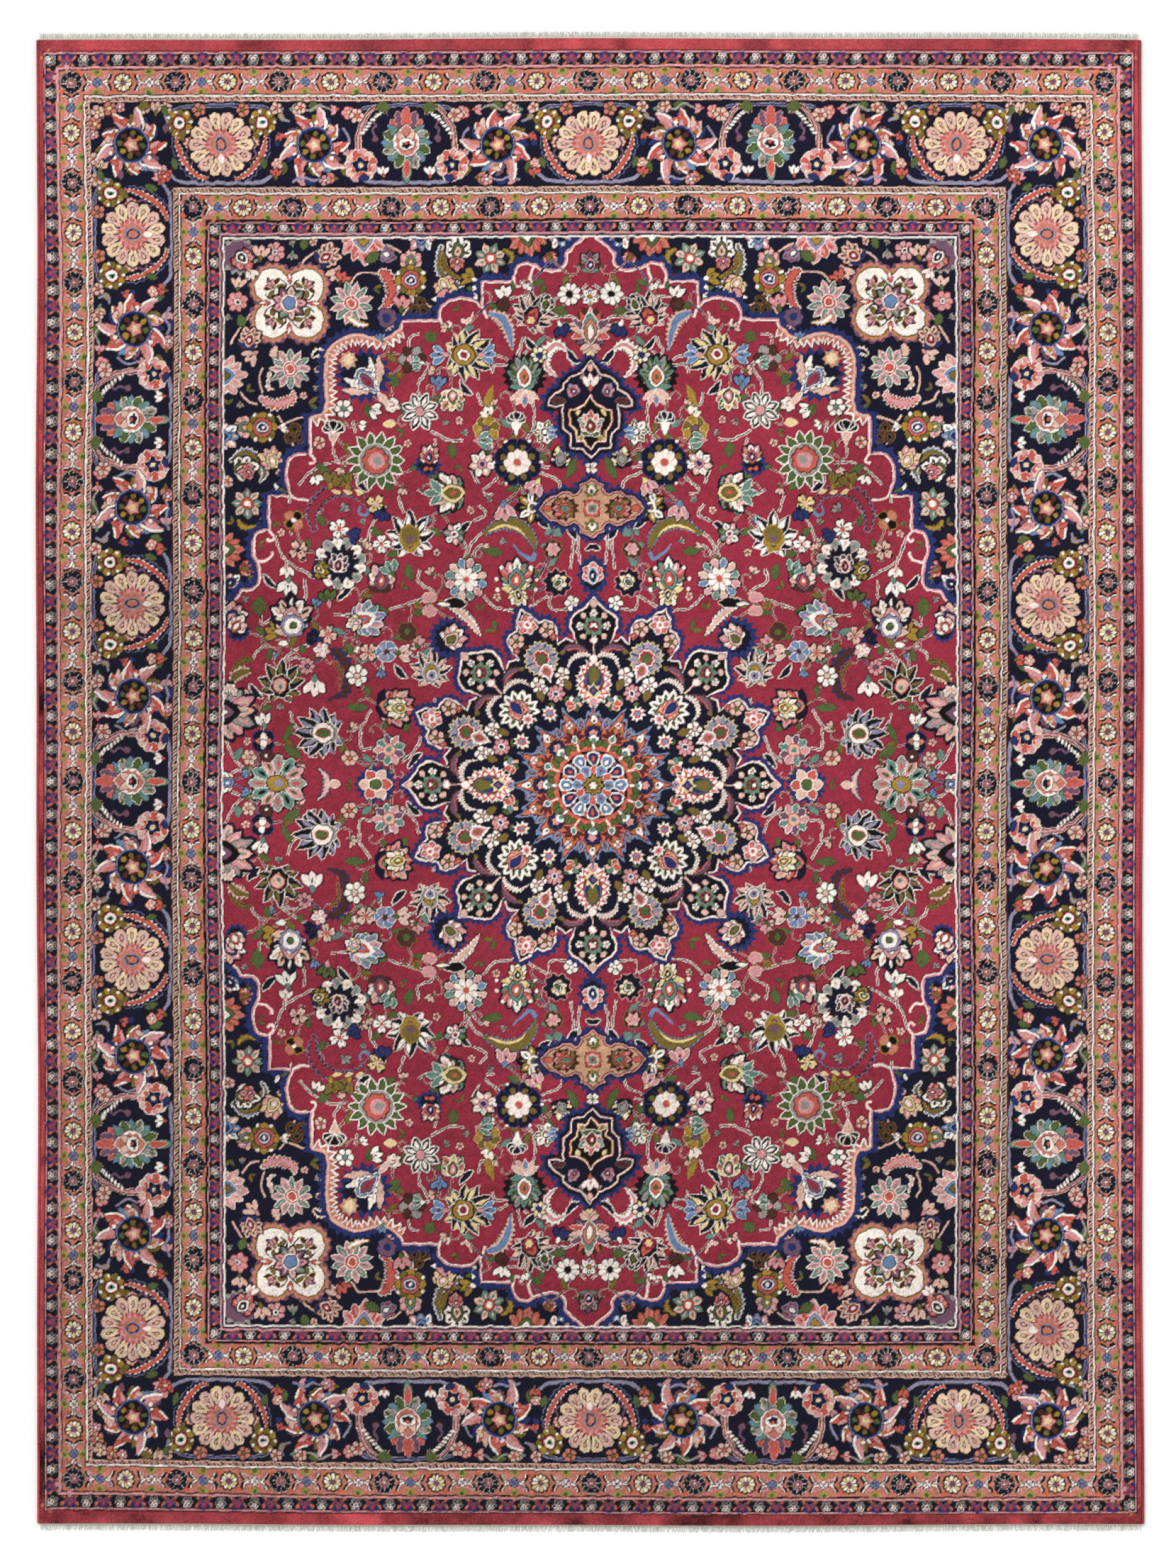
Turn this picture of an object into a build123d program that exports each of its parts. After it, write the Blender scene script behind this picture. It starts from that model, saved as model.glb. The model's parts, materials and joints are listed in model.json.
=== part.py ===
"""A hand-knotted medallion carpet, lying flat: +X across, +Y along its length, +Z up.

The origin is the middle of the underside. A woven cotton foundation carries the wool pile,
which is split into the areas of its design: eight bands round the edge, each in four mitred
strips, then the field with its medallion and its four corner spandrels. Overcast selvedges
bind the long sides, and a narrow kilim end and a short fringe finish the two ends.
"""

import os
from math import cos, radians, sin

from build123d import *

os.makedirs("parts", exist_ok=True)

# Driving dimensions, in millimetres
carpet_width = 2950.0
pile_length = 3960.0
foundation_height = 3.0
pile_height = 8.0
selvedge_width = 8.0
selvedge_height = 9.0
selvedge_round = 3.0
core_diameter = 3.8
kilim_length = 5.0
fringe_length = 14.0

# Each band of the border, from the edge inwards: its name, and its width along the long
# sides and along the two ends, which a weaver keeps a little wider.
bands = [
    ("plain_band", 10.0, 30.0),
    ("outer_guard", 45.0, 47.0),
    ("outer_border", 67.0, 72.0),
    ("outer_barber_stripe", 19.0, 19.0),
    ("main_border", 212.0, 223.0),
    ("inner_barber_stripe", 21.0, 21.0),
    ("inner_border", 69.0, 70.0),
    ("inner_guard", 49.0, 47.0),
]

# The medallion: sixteen pointed lobes, wide ones on the axes and the diagonals
medallion_tip_radius = 508.0
medallion_notch_radius = 382.0
medallion_shoulder_radius = 462.0
wide_lobe_half_angle = 13.5
narrow_lobe_half_angle = 9.0
shoulder_share = 0.6

ground_width = carpet_width - 2 * selvedge_width
field_half_width = ground_width / 2 - sum(side for _, side, _ in bands)
field_half_length = pile_length / 2 - sum(end for _, _, end in bands)


def save(piece, name):
    """Label a finished piece and write it to its own STEP file."""
    piece.label = name
    export_step(piece, f"parts/{name}.step")


def foundation():
    """The woven cotton ground that every knot is tied to."""
    with BuildPart() as ground:
        with BuildSketch(Plane.XY):
            Rectangle(ground_width, pile_length)
        extrude(amount=foundation_height)
    save(ground.part, "foundation")


def mitred_strip(outer_corner, inner_corner, quarter_turns):
    """One side of a band: a flat strip of pile with its two ends mitred into the corners."""
    outer_x, outer_y = outer_corner
    inner_x, inner_y = inner_corner
    north = [(-outer_x, outer_y), (outer_x, outer_y), (inner_x, inner_y), (-inner_x, inner_y)]
    east = [(outer_x, outer_y), (outer_x, -outer_y), (inner_x, -inner_y), (inner_x, inner_y)]
    south = [(-x, -y) for x, y in north]
    west = [(-x, -y) for x, y in east]
    outline = (north, east, south, west)[quarter_turns]
    with BuildPart() as strip:
        with BuildSketch(Plane.XY.offset(foundation_height)):
            with BuildLine():
                Polyline(*outline, close=True)
            make_face()
        extrude(amount=pile_height)
    return strip.part


def border_bands():
    """All bands of the border, from the edge to the field."""
    half_width = ground_width / 2
    half_length = pile_length / 2
    for name, side, end in bands:
        outer_corner = (half_width, half_length)
        half_width -= side
        half_length -= end
        inner_corner = (half_width, half_length)
        for quarter_turns, direction in enumerate(("north", "east", "south", "west")):
            strip = mitred_strip(outer_corner, inner_corner, quarter_turns)
            save(strip, f"{name}_{direction}")


def polar(radius, angle):
    """A point from its radius and its angle in degrees."""
    return (radius * cos(radians(angle)), radius * sin(radians(angle)))


def medallion_outline():
    """Sixteen pointed lobes, each of two arcs that swell from a notch and meet at the tip."""
    for lobe in range(16):
        middle = 22.5 * lobe
        wide = lobe % 2 == 0
        half_angle = wide_lobe_half_angle if wide else narrow_lobe_half_angle
        tip = polar(medallion_tip_radius, middle)
        for side in (-1, 1):
            notch = polar(medallion_notch_radius, middle + side * half_angle)
            shoulder = polar(medallion_shoulder_radius, middle + side * half_angle * shoulder_share)
            ThreePointArc(notch, shoulder, tip)


def medallion():
    """The lobed medallion in the middle of the field."""
    with BuildPart() as piece:
        with BuildSketch(Plane.XY.offset(foundation_height)):
            with BuildLine():
                medallion_outline()
            make_face()
        extrude(amount=pile_height)
    return piece.part


def spandrel_outline(mirror_x, mirror_y):
    """A corner spandrel: two field edges and a stepped, lobed edge towards the field."""

    def at(x, y):
        return (mirror_x * x, mirror_y * y)

    corner = at(field_half_width, field_half_length)
    Line(corner, at(20, field_half_length))
    Line(at(20, field_half_length), at(62, 1408))
    ThreePointArc(at(62, 1408), at(82, 1366), at(125, 1366))
    ThreePointArc(at(125, 1366), at(180, 1382), at(203, 1333))
    Polyline(at(203, 1333), at(288, 1333), at(288, 1262))
    ThreePointArc(at(288, 1262), at(345, 1290), at(400, 1232))
    Line(at(400, 1232), at(500, 1232))
    ThreePointArc(at(500, 1232), at(528, 1186), at(580, 1180))
    Line(at(580, 1180), at(660, 1180))
    ThreePointArc(at(660, 1180), at(690, 1168), at(700, 1140))
    Line(at(700, 1140), at(700, 1020))
    ThreePointArc(at(700, 1020), at(714, 988), at(745, 978))
    Line(at(745, 978), at(745, 878))
    ThreePointArc(at(745, 878), at(806, 830), at(795, 765))
    Polyline(at(795, 765), at(857, 765), at(857, 672))
    ThreePointArc(at(857, 672), at(900, 645), at(893, 600))
    ThreePointArc(at(893, 600), at(884, 545), at(930, 515))
    Line(at(930, 515), at(field_half_width, 468))
    Line(at(field_half_width, 468), corner)


def spandrel(mirror_x, mirror_y):
    """The pile of one corner of the field."""
    with BuildPart() as piece:
        with BuildSketch(Plane.XY.offset(foundation_height)):
            with BuildLine():
                spandrel_outline(mirror_x, mirror_y)
            make_face()
        extrude(amount=pile_height)
    return piece.part


def field():
    """The ground of the field, and the medallion and the spandrels that are let into it."""
    middle = medallion()
    corners = {
        "north_east": spandrel(1, 1),
        "north_west": spandrel(-1, 1),
        "south_east": spandrel(1, -1),
        "south_west": spandrel(-1, -1),
    }
    with BuildPart() as ground:
        with BuildSketch(Plane.XY.offset(foundation_height)):
            Rectangle(2 * field_half_width, 2 * field_half_length)
        extrude(amount=pile_height)
        add(middle, mode=Mode.SUBTRACT)
        add(list(corners.values()), mode=Mode.SUBTRACT)
    save(ground.part, "field")
    save(middle, "medallion")
    for direction, corner in corners.items():
        save(corner, f"spandrel_{direction}")


def selvedge(side, direction):
    """A bundle of side warps, and the wool that is wrapped round it."""
    axis_x = side * (carpet_width - selvedge_width) / 2
    end_plane = Plane(
        origin=(axis_x, pile_length / 2, selvedge_height / 2), x_dir=(1, 0, 0), z_dir=(0, -1, 0)
    )
    with BuildPart() as core:
        with BuildSketch(end_plane):
            Circle(core_diameter / 2)
        extrude(amount=pile_length)
    with BuildPart() as wrap:
        with BuildSketch(end_plane):
            RectangleRounded(selvedge_width, selvedge_height, selvedge_round)
            Circle(core_diameter / 2, mode=Mode.SUBTRACT)
        extrude(amount=pile_length)
    save(core.part, f"selvedge_core_{direction}")
    save(wrap.part, f"selvedge_wrap_{direction}")


def end_finish(side, direction):
    """The flat-woven kilim end, and the cut warps beyond it."""
    kilim_middle = side * (pile_length + kilim_length) / 2
    fringe_middle = side * (pile_length / 2 + kilim_length + fringe_length / 2)
    with BuildPart() as kilim:
        with BuildSketch(Plane.XY):
            with Locations((0, kilim_middle)):
                Rectangle(ground_width, kilim_length)
        extrude(amount=foundation_height)
    with BuildPart() as fringe:
        with BuildSketch(Plane.XY):
            with Locations((0, fringe_middle)):
                Rectangle(ground_width, fringe_length)
        extrude(amount=foundation_height)
    save(kilim.part, f"kilim_end_{direction}")
    save(fringe.part, f"fringe_{direction}")


foundation()
border_bands()
field()
for side, direction in ((1, "east"), (-1, "west")):
    selvedge(side, direction)
for side, direction in ((1, "north"), (-1, "south")):
    end_finish(side, direction)
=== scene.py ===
"""A hand-knotted medallion carpet, knotted in numpy and laid out as pile, selvedges and fringe.

The design is drawn the way a carpet cartoon is: one quarter, in millimetres from the middle of
the carpet, x across and y along, as closed outlines painted over each other onto a fine canvas.
The quarter is mirrored both ways, and each knot of the pile takes its colour from it.
Points of the design are complex numbers, x + y * 1j, so that turning one is a multiplication.
"""

import json
import math

import bpy
import numpy as np
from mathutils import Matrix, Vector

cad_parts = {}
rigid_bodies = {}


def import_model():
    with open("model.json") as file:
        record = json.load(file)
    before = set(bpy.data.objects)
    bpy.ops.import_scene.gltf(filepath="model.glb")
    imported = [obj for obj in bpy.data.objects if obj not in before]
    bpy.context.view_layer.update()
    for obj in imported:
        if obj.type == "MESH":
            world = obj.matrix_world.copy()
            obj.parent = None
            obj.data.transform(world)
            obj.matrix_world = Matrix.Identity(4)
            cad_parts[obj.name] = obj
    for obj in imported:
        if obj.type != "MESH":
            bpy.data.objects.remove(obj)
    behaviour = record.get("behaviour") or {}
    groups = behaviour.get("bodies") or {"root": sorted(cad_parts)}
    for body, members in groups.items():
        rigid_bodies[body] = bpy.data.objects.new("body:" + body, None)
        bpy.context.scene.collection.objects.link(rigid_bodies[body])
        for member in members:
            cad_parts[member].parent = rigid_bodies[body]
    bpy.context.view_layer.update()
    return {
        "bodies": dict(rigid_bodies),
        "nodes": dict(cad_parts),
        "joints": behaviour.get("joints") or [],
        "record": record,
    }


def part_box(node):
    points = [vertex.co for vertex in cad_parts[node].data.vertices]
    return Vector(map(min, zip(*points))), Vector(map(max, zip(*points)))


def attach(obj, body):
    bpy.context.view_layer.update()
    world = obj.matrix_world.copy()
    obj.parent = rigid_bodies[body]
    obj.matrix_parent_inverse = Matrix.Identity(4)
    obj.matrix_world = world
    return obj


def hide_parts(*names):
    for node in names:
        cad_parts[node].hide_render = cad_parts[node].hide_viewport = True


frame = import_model()
rng = np.random.default_rng(7)

MM = 0.001
KNOT = 3.0
FINE = KNOT / 2


def corner_of(node, corner=1):
    """The far corner of a node of the frame, in millimetres, or its near one."""
    return [round(float(value) / MM, 1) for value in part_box(node)[corner]]


# Half sizes of the knotted ground, the heights of its layers, and the areas of its pile
HALF_WIDTH, HALF_LENGTH, FOUNDATION_TOP = corner_of("foundation")
PILE_TOP = corner_of("field")[2]
BANDS = ("plain_band", "outer_guard", "outer_border", "outer_barber_stripe", "main_border")
BANDS += ("inner_barber_stripe", "inner_border", "inner_guard")
SPANDRELS = ("spandrel_north_east", "spandrel_north_west", "spandrel_south_east", "spandrel_south_west")
FIELD_AREA = len(BANDS)
MEDALLION_AREA = FIELD_AREA + 1
SPANDREL_AREA = FIELD_AREA + 2


def band_edges():
    """Each band's name with its outer and inner half width and half length."""
    edges = {}
    for name in BANDS:
        outer_x, inner_x = corner_of(f"{name}_east")[0], corner_of(f"{name}_east", 0)[0]
        outer_y, inner_y = corner_of(f"{name}_north")[1], corner_of(f"{name}_north", 0)[1]
        edges[name] = (outer_x, outer_y, inner_x, inner_y)
    edges["field"] = (*corner_of("field")[:2], 0, 0)
    return edges


EDGES = band_edges()

# ---------------------------------------------------------------- the dyer's colours, in sRGB

(CRIMSON, BRICK, NAVY, INK, BLUE, SKY, LILAC, SALMON, CORAL, PINK, CREAM, SAND, OLIVE) = range(13)
(GREEN, TEAL, BROWN, MUSTARD, MAUVE, GREY, GOLD, ORANGE, WHEAT, LIME, ROSE, TAN) = range(13, 25)
DYES = {
    CRIMSON: (159, 54, 71),
    BRICK: (170, 62, 68),
    NAVY: (36, 35, 56),
    INK: (34, 25, 30),
    BLUE: (50, 61, 114),
    SKY: (112, 138, 176),
    LILAC: (146, 140, 164),
    SALMON: (200, 124, 107),
    CORAL: (200, 96, 84),
    PINK: (212, 148, 150),
    CREAM: (242, 229, 218),
    SAND: (220, 178, 162),
    OLIVE: (124, 106, 56),
    GREEN: (92, 106, 62),
    TEAL: (108, 140, 126),
    BROWN: (90, 56, 48),
    MUSTARD: (166, 132, 58),
    MAUVE: (122, 88, 108),
    GREY: (156, 148, 142),
    GOLD: (226, 202, 146),
    ORANGE: (208, 110, 84),
    WHEAT: (230, 200, 164),
    LIME: (158, 152, 84),
    ROSE: (178, 78, 104),
    TAN: (198, 152, 122),
}

COLUMNS = round(HALF_WIDTH / FINE)
ROWS = round(HALF_LENGTH / FINE)
CARTOON = np.full((ROWS, COLUMNS), BRICK, np.uint8)
AREA = np.zeros((ROWS, COLUMNS), np.uint8)

# ---------------------------------------------------------------- drawing


def fill(outline, colour, canvas=CARTOON):
    """Paint the inside of a closed outline, by where each canvas row crosses its edges."""
    x, y = outline.real / FINE, outline.imag / FINE
    low_row, high_row = max(int(y.min() - 1), 0), min(int(y.max() + 2), ROWS)
    low_column, high_column = max(int(x.min() - 1), 0), min(int(x.max() + 2), COLUMNS)
    if low_row >= high_row or low_column >= high_column:
        return
    rows = np.arange(low_row, high_row) + 0.5
    next_x, next_y = np.roll(x, -1), np.roll(y, -1)
    edge, row = np.nonzero((y[:, None] <= rows) != (next_y[:, None] <= rows))
    slope = (next_x[edge] - x[edge]) / (next_y[edge] - y[edge])
    crossing = x[edge] + (rows[row] - y[edge]) * slope
    width = high_column - low_column
    column = np.clip(np.ceil(crossing - 0.5).astype(int) - low_column, 0, width)
    parity = np.zeros((len(rows), width + 1), np.int32)
    np.add.at(parity, (row, column), 1)
    inside = np.cumsum(parity, axis=1)[:, :-1] % 2 == 1
    canvas[low_row:high_row, low_column:high_column][inside] = colour


def turned(degrees):
    """The direction at that angle, anticlockwise from +X."""
    return np.exp(1j * np.radians(degrees))


def points(*pairs):
    """Complex points from x, y, x, y and so on."""
    flat = np.array(pairs, float)
    return flat[0::2] + 1j * flat[1::2]


def smooth(route, steps=6):
    """A Catmull-Rom curve through the points of a route."""
    padded = np.concatenate([[2 * route[0] - route[1]], route, [2 * route[-1] - route[-2]]])
    before, start, end, after = padded[:-3], padded[1:-2], padded[2:-1], padded[3:]
    t = (np.arange(steps) / steps)[:, None]
    curve = (
        2 * start
        + (end - before) * t
        + (2 * before - 5 * start + 4 * end - after) * t**2
        + (3 * start - before - 3 * end + after) * t**3
    ) / 2
    return np.append(curve.T.ravel(), route[-1])


def side(route):
    """The unit direction to the left of a route, at each of its points."""
    along = np.gradient(route)
    return 1j * along / np.maximum(np.abs(along), 1e-9)


def grow(outline, amount):
    """The outline moved outwards by an amount."""
    along = np.roll(outline, -1) - np.roll(outline, 1)
    outwards = -1j * along / np.maximum(np.abs(along), 1e-9)
    x, y = outline.real, outline.imag
    area = np.sum(x * np.roll(y, -1) - y * np.roll(x, -1))
    return outline + outwards * amount * np.sign(area)


def shape(outline, colour, line=None, width=3.0):
    """A filled outline, with a line round it if one is named."""
    if line is not None:
        fill(grow(outline, width), line)
    fill(outline, colour)


def leaf_form(length, half, belly=0.5, bend=0.0, teeth=0, depth=0.35, blunt=0.8):
    """A leaf from 0 along +X: widest at belly, curved by bend, with teeth along both edges."""
    t = np.linspace(0, 1, max(11, 2 * teeth + 1))
    reach = half * np.sin(np.pi * t ** (math.log(0.5) / math.log(belly))) ** blunt
    if teeth:
        reach[0::2] *= 1 - depth
    spine = length * t + 1j * bend * length * t**2
    left = side(spine) * reach
    return np.concatenate([spine + left, (spine - left)[-2:0:-1]])


def leaf(at, length, half, turn, colour, line=None, width=2.5, **form):
    """A leaf or petal that starts at a point and points in a direction."""
    shape(at + turned(turn) * leaf_form(length, half, **form), colour, line, width)


def disc(at, radius, colour, line=None, width=2.5, squash=1.0, turn=0.0, teeth=0, depth=0.12):
    """A round or oval spot, with a toothed edge if teeth are given."""
    count = max(20, 4 * teeth)
    t = np.linspace(0, 2 * np.pi, count, endpoint=False)
    reach = radius * (1 + depth * np.where(np.arange(count) % 4 < 2, 0.5, -0.5)) if teeth else radius
    oval = reach * (np.cos(t) + 1j * squash * np.sin(t))
    shape(at + turned(turn) * oval, colour, line, width)


def ring(at, count, inner, outer, half, colours, line=None, turn=0.0, width=2.5, **form):
    """Petals set evenly round a point, taking their colours in turn."""
    for k in range(count):
        direction = turn + 360 * k / count
        start = at + inner * turned(direction)
        leaf(start, outer - inner, half, direction, colours[k % len(colours)], line, width, **form)


def stroke(route, half, colour, taper=0.0):
    """A line of some width along a smooth route, thinner towards its end by taper."""
    path = smooth(route)
    reach = half * (1 - taper * np.linspace(0, 1, len(path)))
    left = side(path) * reach
    fill(np.concatenate([path + left, (path - left)[::-1]]), colour)


def vine(*pairs, half=1.5, core=NAVY, line=CREAM, edge=1.8):
    """A stem: a dark core between two pale lines."""
    route = points(*pairs)
    stroke(route, half + edge, line)
    stroke(route, half, core)


def feather(route, half, colour, line, spine, teeth=14, width=2.6, core=0.45, depth=0.5):
    """A long curved leaf with a toothed edge and a second colour along its middle."""
    path = smooth(route, steps=max(2, round(2 * teeth / (len(route) - 1))))
    t = np.linspace(0, 1, len(path))
    reach = half * np.sin(np.pi * np.clip(t, 0.04, 1) ** 0.75) ** 0.7
    toothed = reach * np.where(np.arange(len(path)) % 2 == 0, 1 - depth, 1.0)
    left = side(path)
    shape(np.concatenate([path + left * toothed, (path - left * toothed)[::-1]]), colour, line, width)
    inner = reach * core
    fill(np.concatenate([path + left * inner, (path - left * inner)[::-1]]), spine)


# ---------------------------------------------------------------- motifs


def daisy(at, radius, petal, line, eye, count=8, turn=0.0):
    """A small open flower with round petals, on a dark shadow."""
    half = radius / count
    ring(at, count, radius * 0.2, radius * 1.16, half * 2.5, [NAVY], None, turn, belly=0.62, blunt=0.6)
    ring(at, count, radius * 0.22, radius, half * 1.9, [petal], line, turn, 1.5, belly=0.66, blunt=0.6)
    disc(at, radius * 0.34, BROWN)
    disc(at, radius * 0.26, eye)


def star_flower(at, radius, colours, line, eye, heart=CREAM, count=8, turn=0.0):
    """A flower of pointed petals in alternate colours."""
    ring(at, count, radius * 0.2, radius * 1.12, radius * 2.7 / count, [INK], None, turn, belly=0.55)
    half = radius / count
    marks = colours[1:] + colours[:1]
    ring(at, count, radius * 0.2, radius, half * 1.9, colours, line, turn, 2.0, belly=0.5, blunt=1.0)
    ring(at, count, radius * 0.42, radius * 0.8, half * 0.5, marks, None, turn)
    disc(at, radius * 0.34, heart, line, 2)
    disc(at, radius * 0.2, eye)


def bud(at, size, turn, colour, line=None, base=GREEN):
    """Three petals closed above a small calyx."""
    for lean in (34, -34, 0):
        leaf(at, size * 1.1, size * 0.3, turn + lean, NAVY, belly=0.6)
    for lean in (34, -34, 0):
        leaf(at, size, size * 0.19, turn + lean, colour, line, 1.3, belly=0.62)
    leaf(at + turned(turn) * size * 0.3, size * 0.3, size * 0.06, turn, BROWN)
    leaf(at - turned(turn) * size * 0.25, size * 0.5, size * 0.16, turn, base, INK, 1.2, belly=0.6)


def cross_flower(at, size, colour, eye, turn=45.0):
    """Four notched petals in a cross."""
    ring(at, 4, 0, size * 1.15, size * 0.5, [INK], None, turn, belly=0.66, blunt=0.6)
    for spread in (-15, 15):
        ring(at, 4, 0, size, size * 0.22, [colour], None, turn + spread, belly=0.7, blunt=0.6)
    ring(at, 4, size * 0.25, size * 0.6, size * 0.07, [BROWN], None, turn)
    disc(at, size * 0.24, eye)


def burst(at, radius, colour, spikes=13, depth=0.22, squash=1.0, turn=0.0):
    """A round or oval spot whose edge is cut into points."""
    t = np.linspace(0, 2 * np.pi, 2 * spikes, endpoint=False)
    reach = radius * np.where(np.arange(2 * spikes) % 2, 1 - depth, 1.0)
    fill(at + turned(turn) * reach * (np.cos(t) + 1j * squash * np.sin(t)), colour)


def cloud(at, radius, colour, squash=1.0, teeth=11):
    """A spiky halo of colour behind a flower."""
    burst(at, radius * 1.06, colour, teeth + 4, 0.24, squash)
    burst(at, radius * 0.74, NAVY, teeth, 0.2, squash)


def even(route, step):
    """The same route with its points a step apart."""
    length = np.concatenate([[0], np.cumsum(np.abs(np.diff(route)))])
    marks = np.arange(0, length[-1], step)
    return np.interp(marks, length, route.real) + 1j * np.interp(marks, length, route.imag)


def saw_edge(route, low, high, step=9.0):
    """A route moved to its left, in and out by turns, as a toothed edge."""
    line = even(route, step)
    return line + side(line) * np.where(np.arange(len(line)) % 2 == 0, low, high)


def shadow(outline, low, high, step=8.0):
    """A toothed blue halo round a closed outline."""
    fill(saw_edge(np.append(outline, outline[0]), -low, -high, step), BLUE)


def nested(outline, *steps):
    """A closed outline painted again and again, grown or shrunk by an amount each time."""
    for amount, colour in steps:
        fill(grow(outline, amount), colour)


def ribbon(route, left, right, colour):
    """A band of colour between two distances from a route."""
    across = side(route)
    fill(np.concatenate([route + across * left, (route + across * right)[::-1]]), colour)


def palmette(at, size, turn, rim, line, body, heart, eye=CREAM, sepal=None, count=9, tall=1.0, blunt=0.95):
    """A flower seen from the side: toothed petals fanned round a pointed heart, on a calyx."""
    order = sorted(range(count), key=lambda n: -abs(n - (count - 1) / 2))
    forward = turned(turn)
    for scale, dark in ((1.13, True), (1.0, False)):
        for k in order:
            lean = (k / (count - 1) - 0.5) * 272
            reach = size * scale * (
                0.7 + 0.3 * tall * math.cos(math.radians(lean))
            ) * (1.0 if k % 2 else 0.9)
            if dark:
                leaf(at, reach, size * 2.9 / count, turn + lean, NAVY, belly=0.62, blunt=blunt)
                continue
            leaf(
                at, reach, size * 2.2 / count, turn + lean, rim[k % len(rim)], line, 1.9, belly=0.62,
                blunt=blunt, teeth=3, depth=0.24,
            )
            leaf(
                at + turned(turn + lean) * reach * 0.5, reach * 0.36, size * 0.55 / count, turn + lean,
                rim[(k + 1) % len(rim)] if len(rim) > 1 else BROWN,
            )
    if sepal is not None:
        for lean in (62, -62):
            leaf(
                at - forward * size * 0.5, size * 0.62, size * 0.14, turn + lean, sepal, line, 1.8,
                bend=-0.3,
            )
    leaf(at - forward * size * 0.42, size * 0.98, size * 0.33, turn, body, line, 2.2, belly=0.46)
    leaf(at - forward * size * 0.26, size * 0.62, size * 0.2, turn, heart, INK, 1.7, belly=0.46)
    leaf(at - forward * size * 0.1, size * 0.28, size * 0.08, turn, eye, belly=0.5)


def lily(at, size, turn, leaves, line, core, heart, count=9, dark=INK):
    """A spiky flower: pointed leaves with pale edges, fanned round a dark and a bright heart."""
    for k in sorted(range(count), key=lambda n: -abs(n - (count - 1) / 2)):
        lean = (k / (count - 1) - 0.5) * 290
        reach = size * (0.82 + 0.2 * math.cos(math.radians(lean)))
        leaf(at, reach, size * 0.19, turn + lean, dark, line, 2.0, belly=0.46, blunt=1.0)
        side_on = turned(turn + lean + 90) * size * 0.05 * (1 if k % 2 else -1)
        leaf(
            at + turned(turn + lean) * size * 0.36 + side_on, reach * 0.5, size * 0.07, turn + lean, leaves,
            belly=0.4,
        )
    disc(at, size * 0.42, core, line, 1.6, squash=0.82, turn=turn, teeth=7)
    leaf(at - turned(turn) * size * 0.26, size * 0.6, size * 0.2, turn, heart, dark, 1.8)
    leaf(at - turned(turn) * size * 0.1, size * 0.26, size * 0.07, turn, INK)


def fan_flower(at, size, turn, top, line, base):
    """A pink-like flower: a fan of blunt petals over a long pointed base."""
    leaf(at - turned(turn) * size * 0.75, size * 0.9, size * 0.24, turn, base, line, 2.2, belly=0.7)
    for lean in (-66, 66, -33, 33, 0):
        leaf(at, size * 0.6, size * 0.2, turn + lean, top, line, 2.4, belly=0.72, blunt=0.6)


def rosette(at, radius, petals, heart, turn=0.0):
    """A large round flower: scalloped petals with a keyhole mark, round a toothed heart."""
    count = 14
    half = radius * 2.7 / count
    tall = 0.92
    ring(at, count, radius * 0.2, radius * 1.06, half * 1.2, [INK], None, turn, belly=0.74, blunt=0.5)
    ring(
        at, count, radius * 0.28, radius, half, petals, MAUVE, turn, 1.3, belly=0.74, blunt=0.5, teeth=5,
        depth=0.16,
    )
    ring(at, count, radius * 0.55, radius * 0.86, half * 0.34, [BROWN], None, turn, belly=0.7)
    ring(at, count, radius * 0.66, radius * 0.83, half * 0.2, [SAND], None, turn, belly=0.6)
    burst(at, radius * 0.56, CORAL, count, 0.3, tall, turn)
    burst(at, radius * 0.5, PINK, count, 0.3, tall, turn + 12)
    burst(at, radius * 0.4, SALMON, 10, 0.2, tall, turn)
    disc(at, radius * 0.26, heart, squash=0.76, turn=turn + 90)
    disc(at, radius * 0.21, NAVY, squash=0.74, turn=turn + 90)
    disc(at, radius * 0.16, SALMON, squash=0.7, turn=turn + 90, teeth=5)


# ---------------------------------------------------------------- border bands


class Run:
    """A straight stretch of border: u along it, v across it towards the carpet's edge."""

    def __init__(self, origin, along, outwards):
        self.origin, self.along, self.outwards = origin, along, outwards
        self.turn = math.degrees(np.angle(along))
        self.flip = 1 if (outwards / along).imag > 0 else -1

    def at(self, u, v=0.0):
        """The design point at u along and v across."""
        return self.origin + self.along * u + self.outwards * v

    def angle(self, degrees):
        """A direction in the run, as an angle in the design."""
        return self.turn + self.flip * degrees


def rectangle(half_width, half_length, colour, canvas=CARTOON):
    """Fill everything inside a rectangle round the middle of the carpet."""
    fill(points(-9, -9, half_width, -9, half_width, half_length, -9, half_length), colour, canvas)


def frame_lines(half_width, half_length, colours):
    """Thin lines, one inside the other."""
    step = 3.4
    for k, colour in enumerate(colours):
        rectangle(half_width - k * step, half_length - k * step, colour)


def runs(name):
    """The two runs of a band in the drawn quarter, and their half widths."""
    outer_x, outer_y, inner_x, inner_y = EDGES[name]
    end = Run(1j * (outer_y + inner_y) / 2, 1 + 0j, 1j)
    long_side = Run((outer_x + inner_x) / 2 + 0j, 1j, 1 + 0j)
    return (
        (end, (outer_x + inner_x) / 2, (outer_y - inner_y) / 2),
        (long_side, (outer_y + inner_y) / 2, (outer_x - inner_x) / 2),
    )


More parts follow.
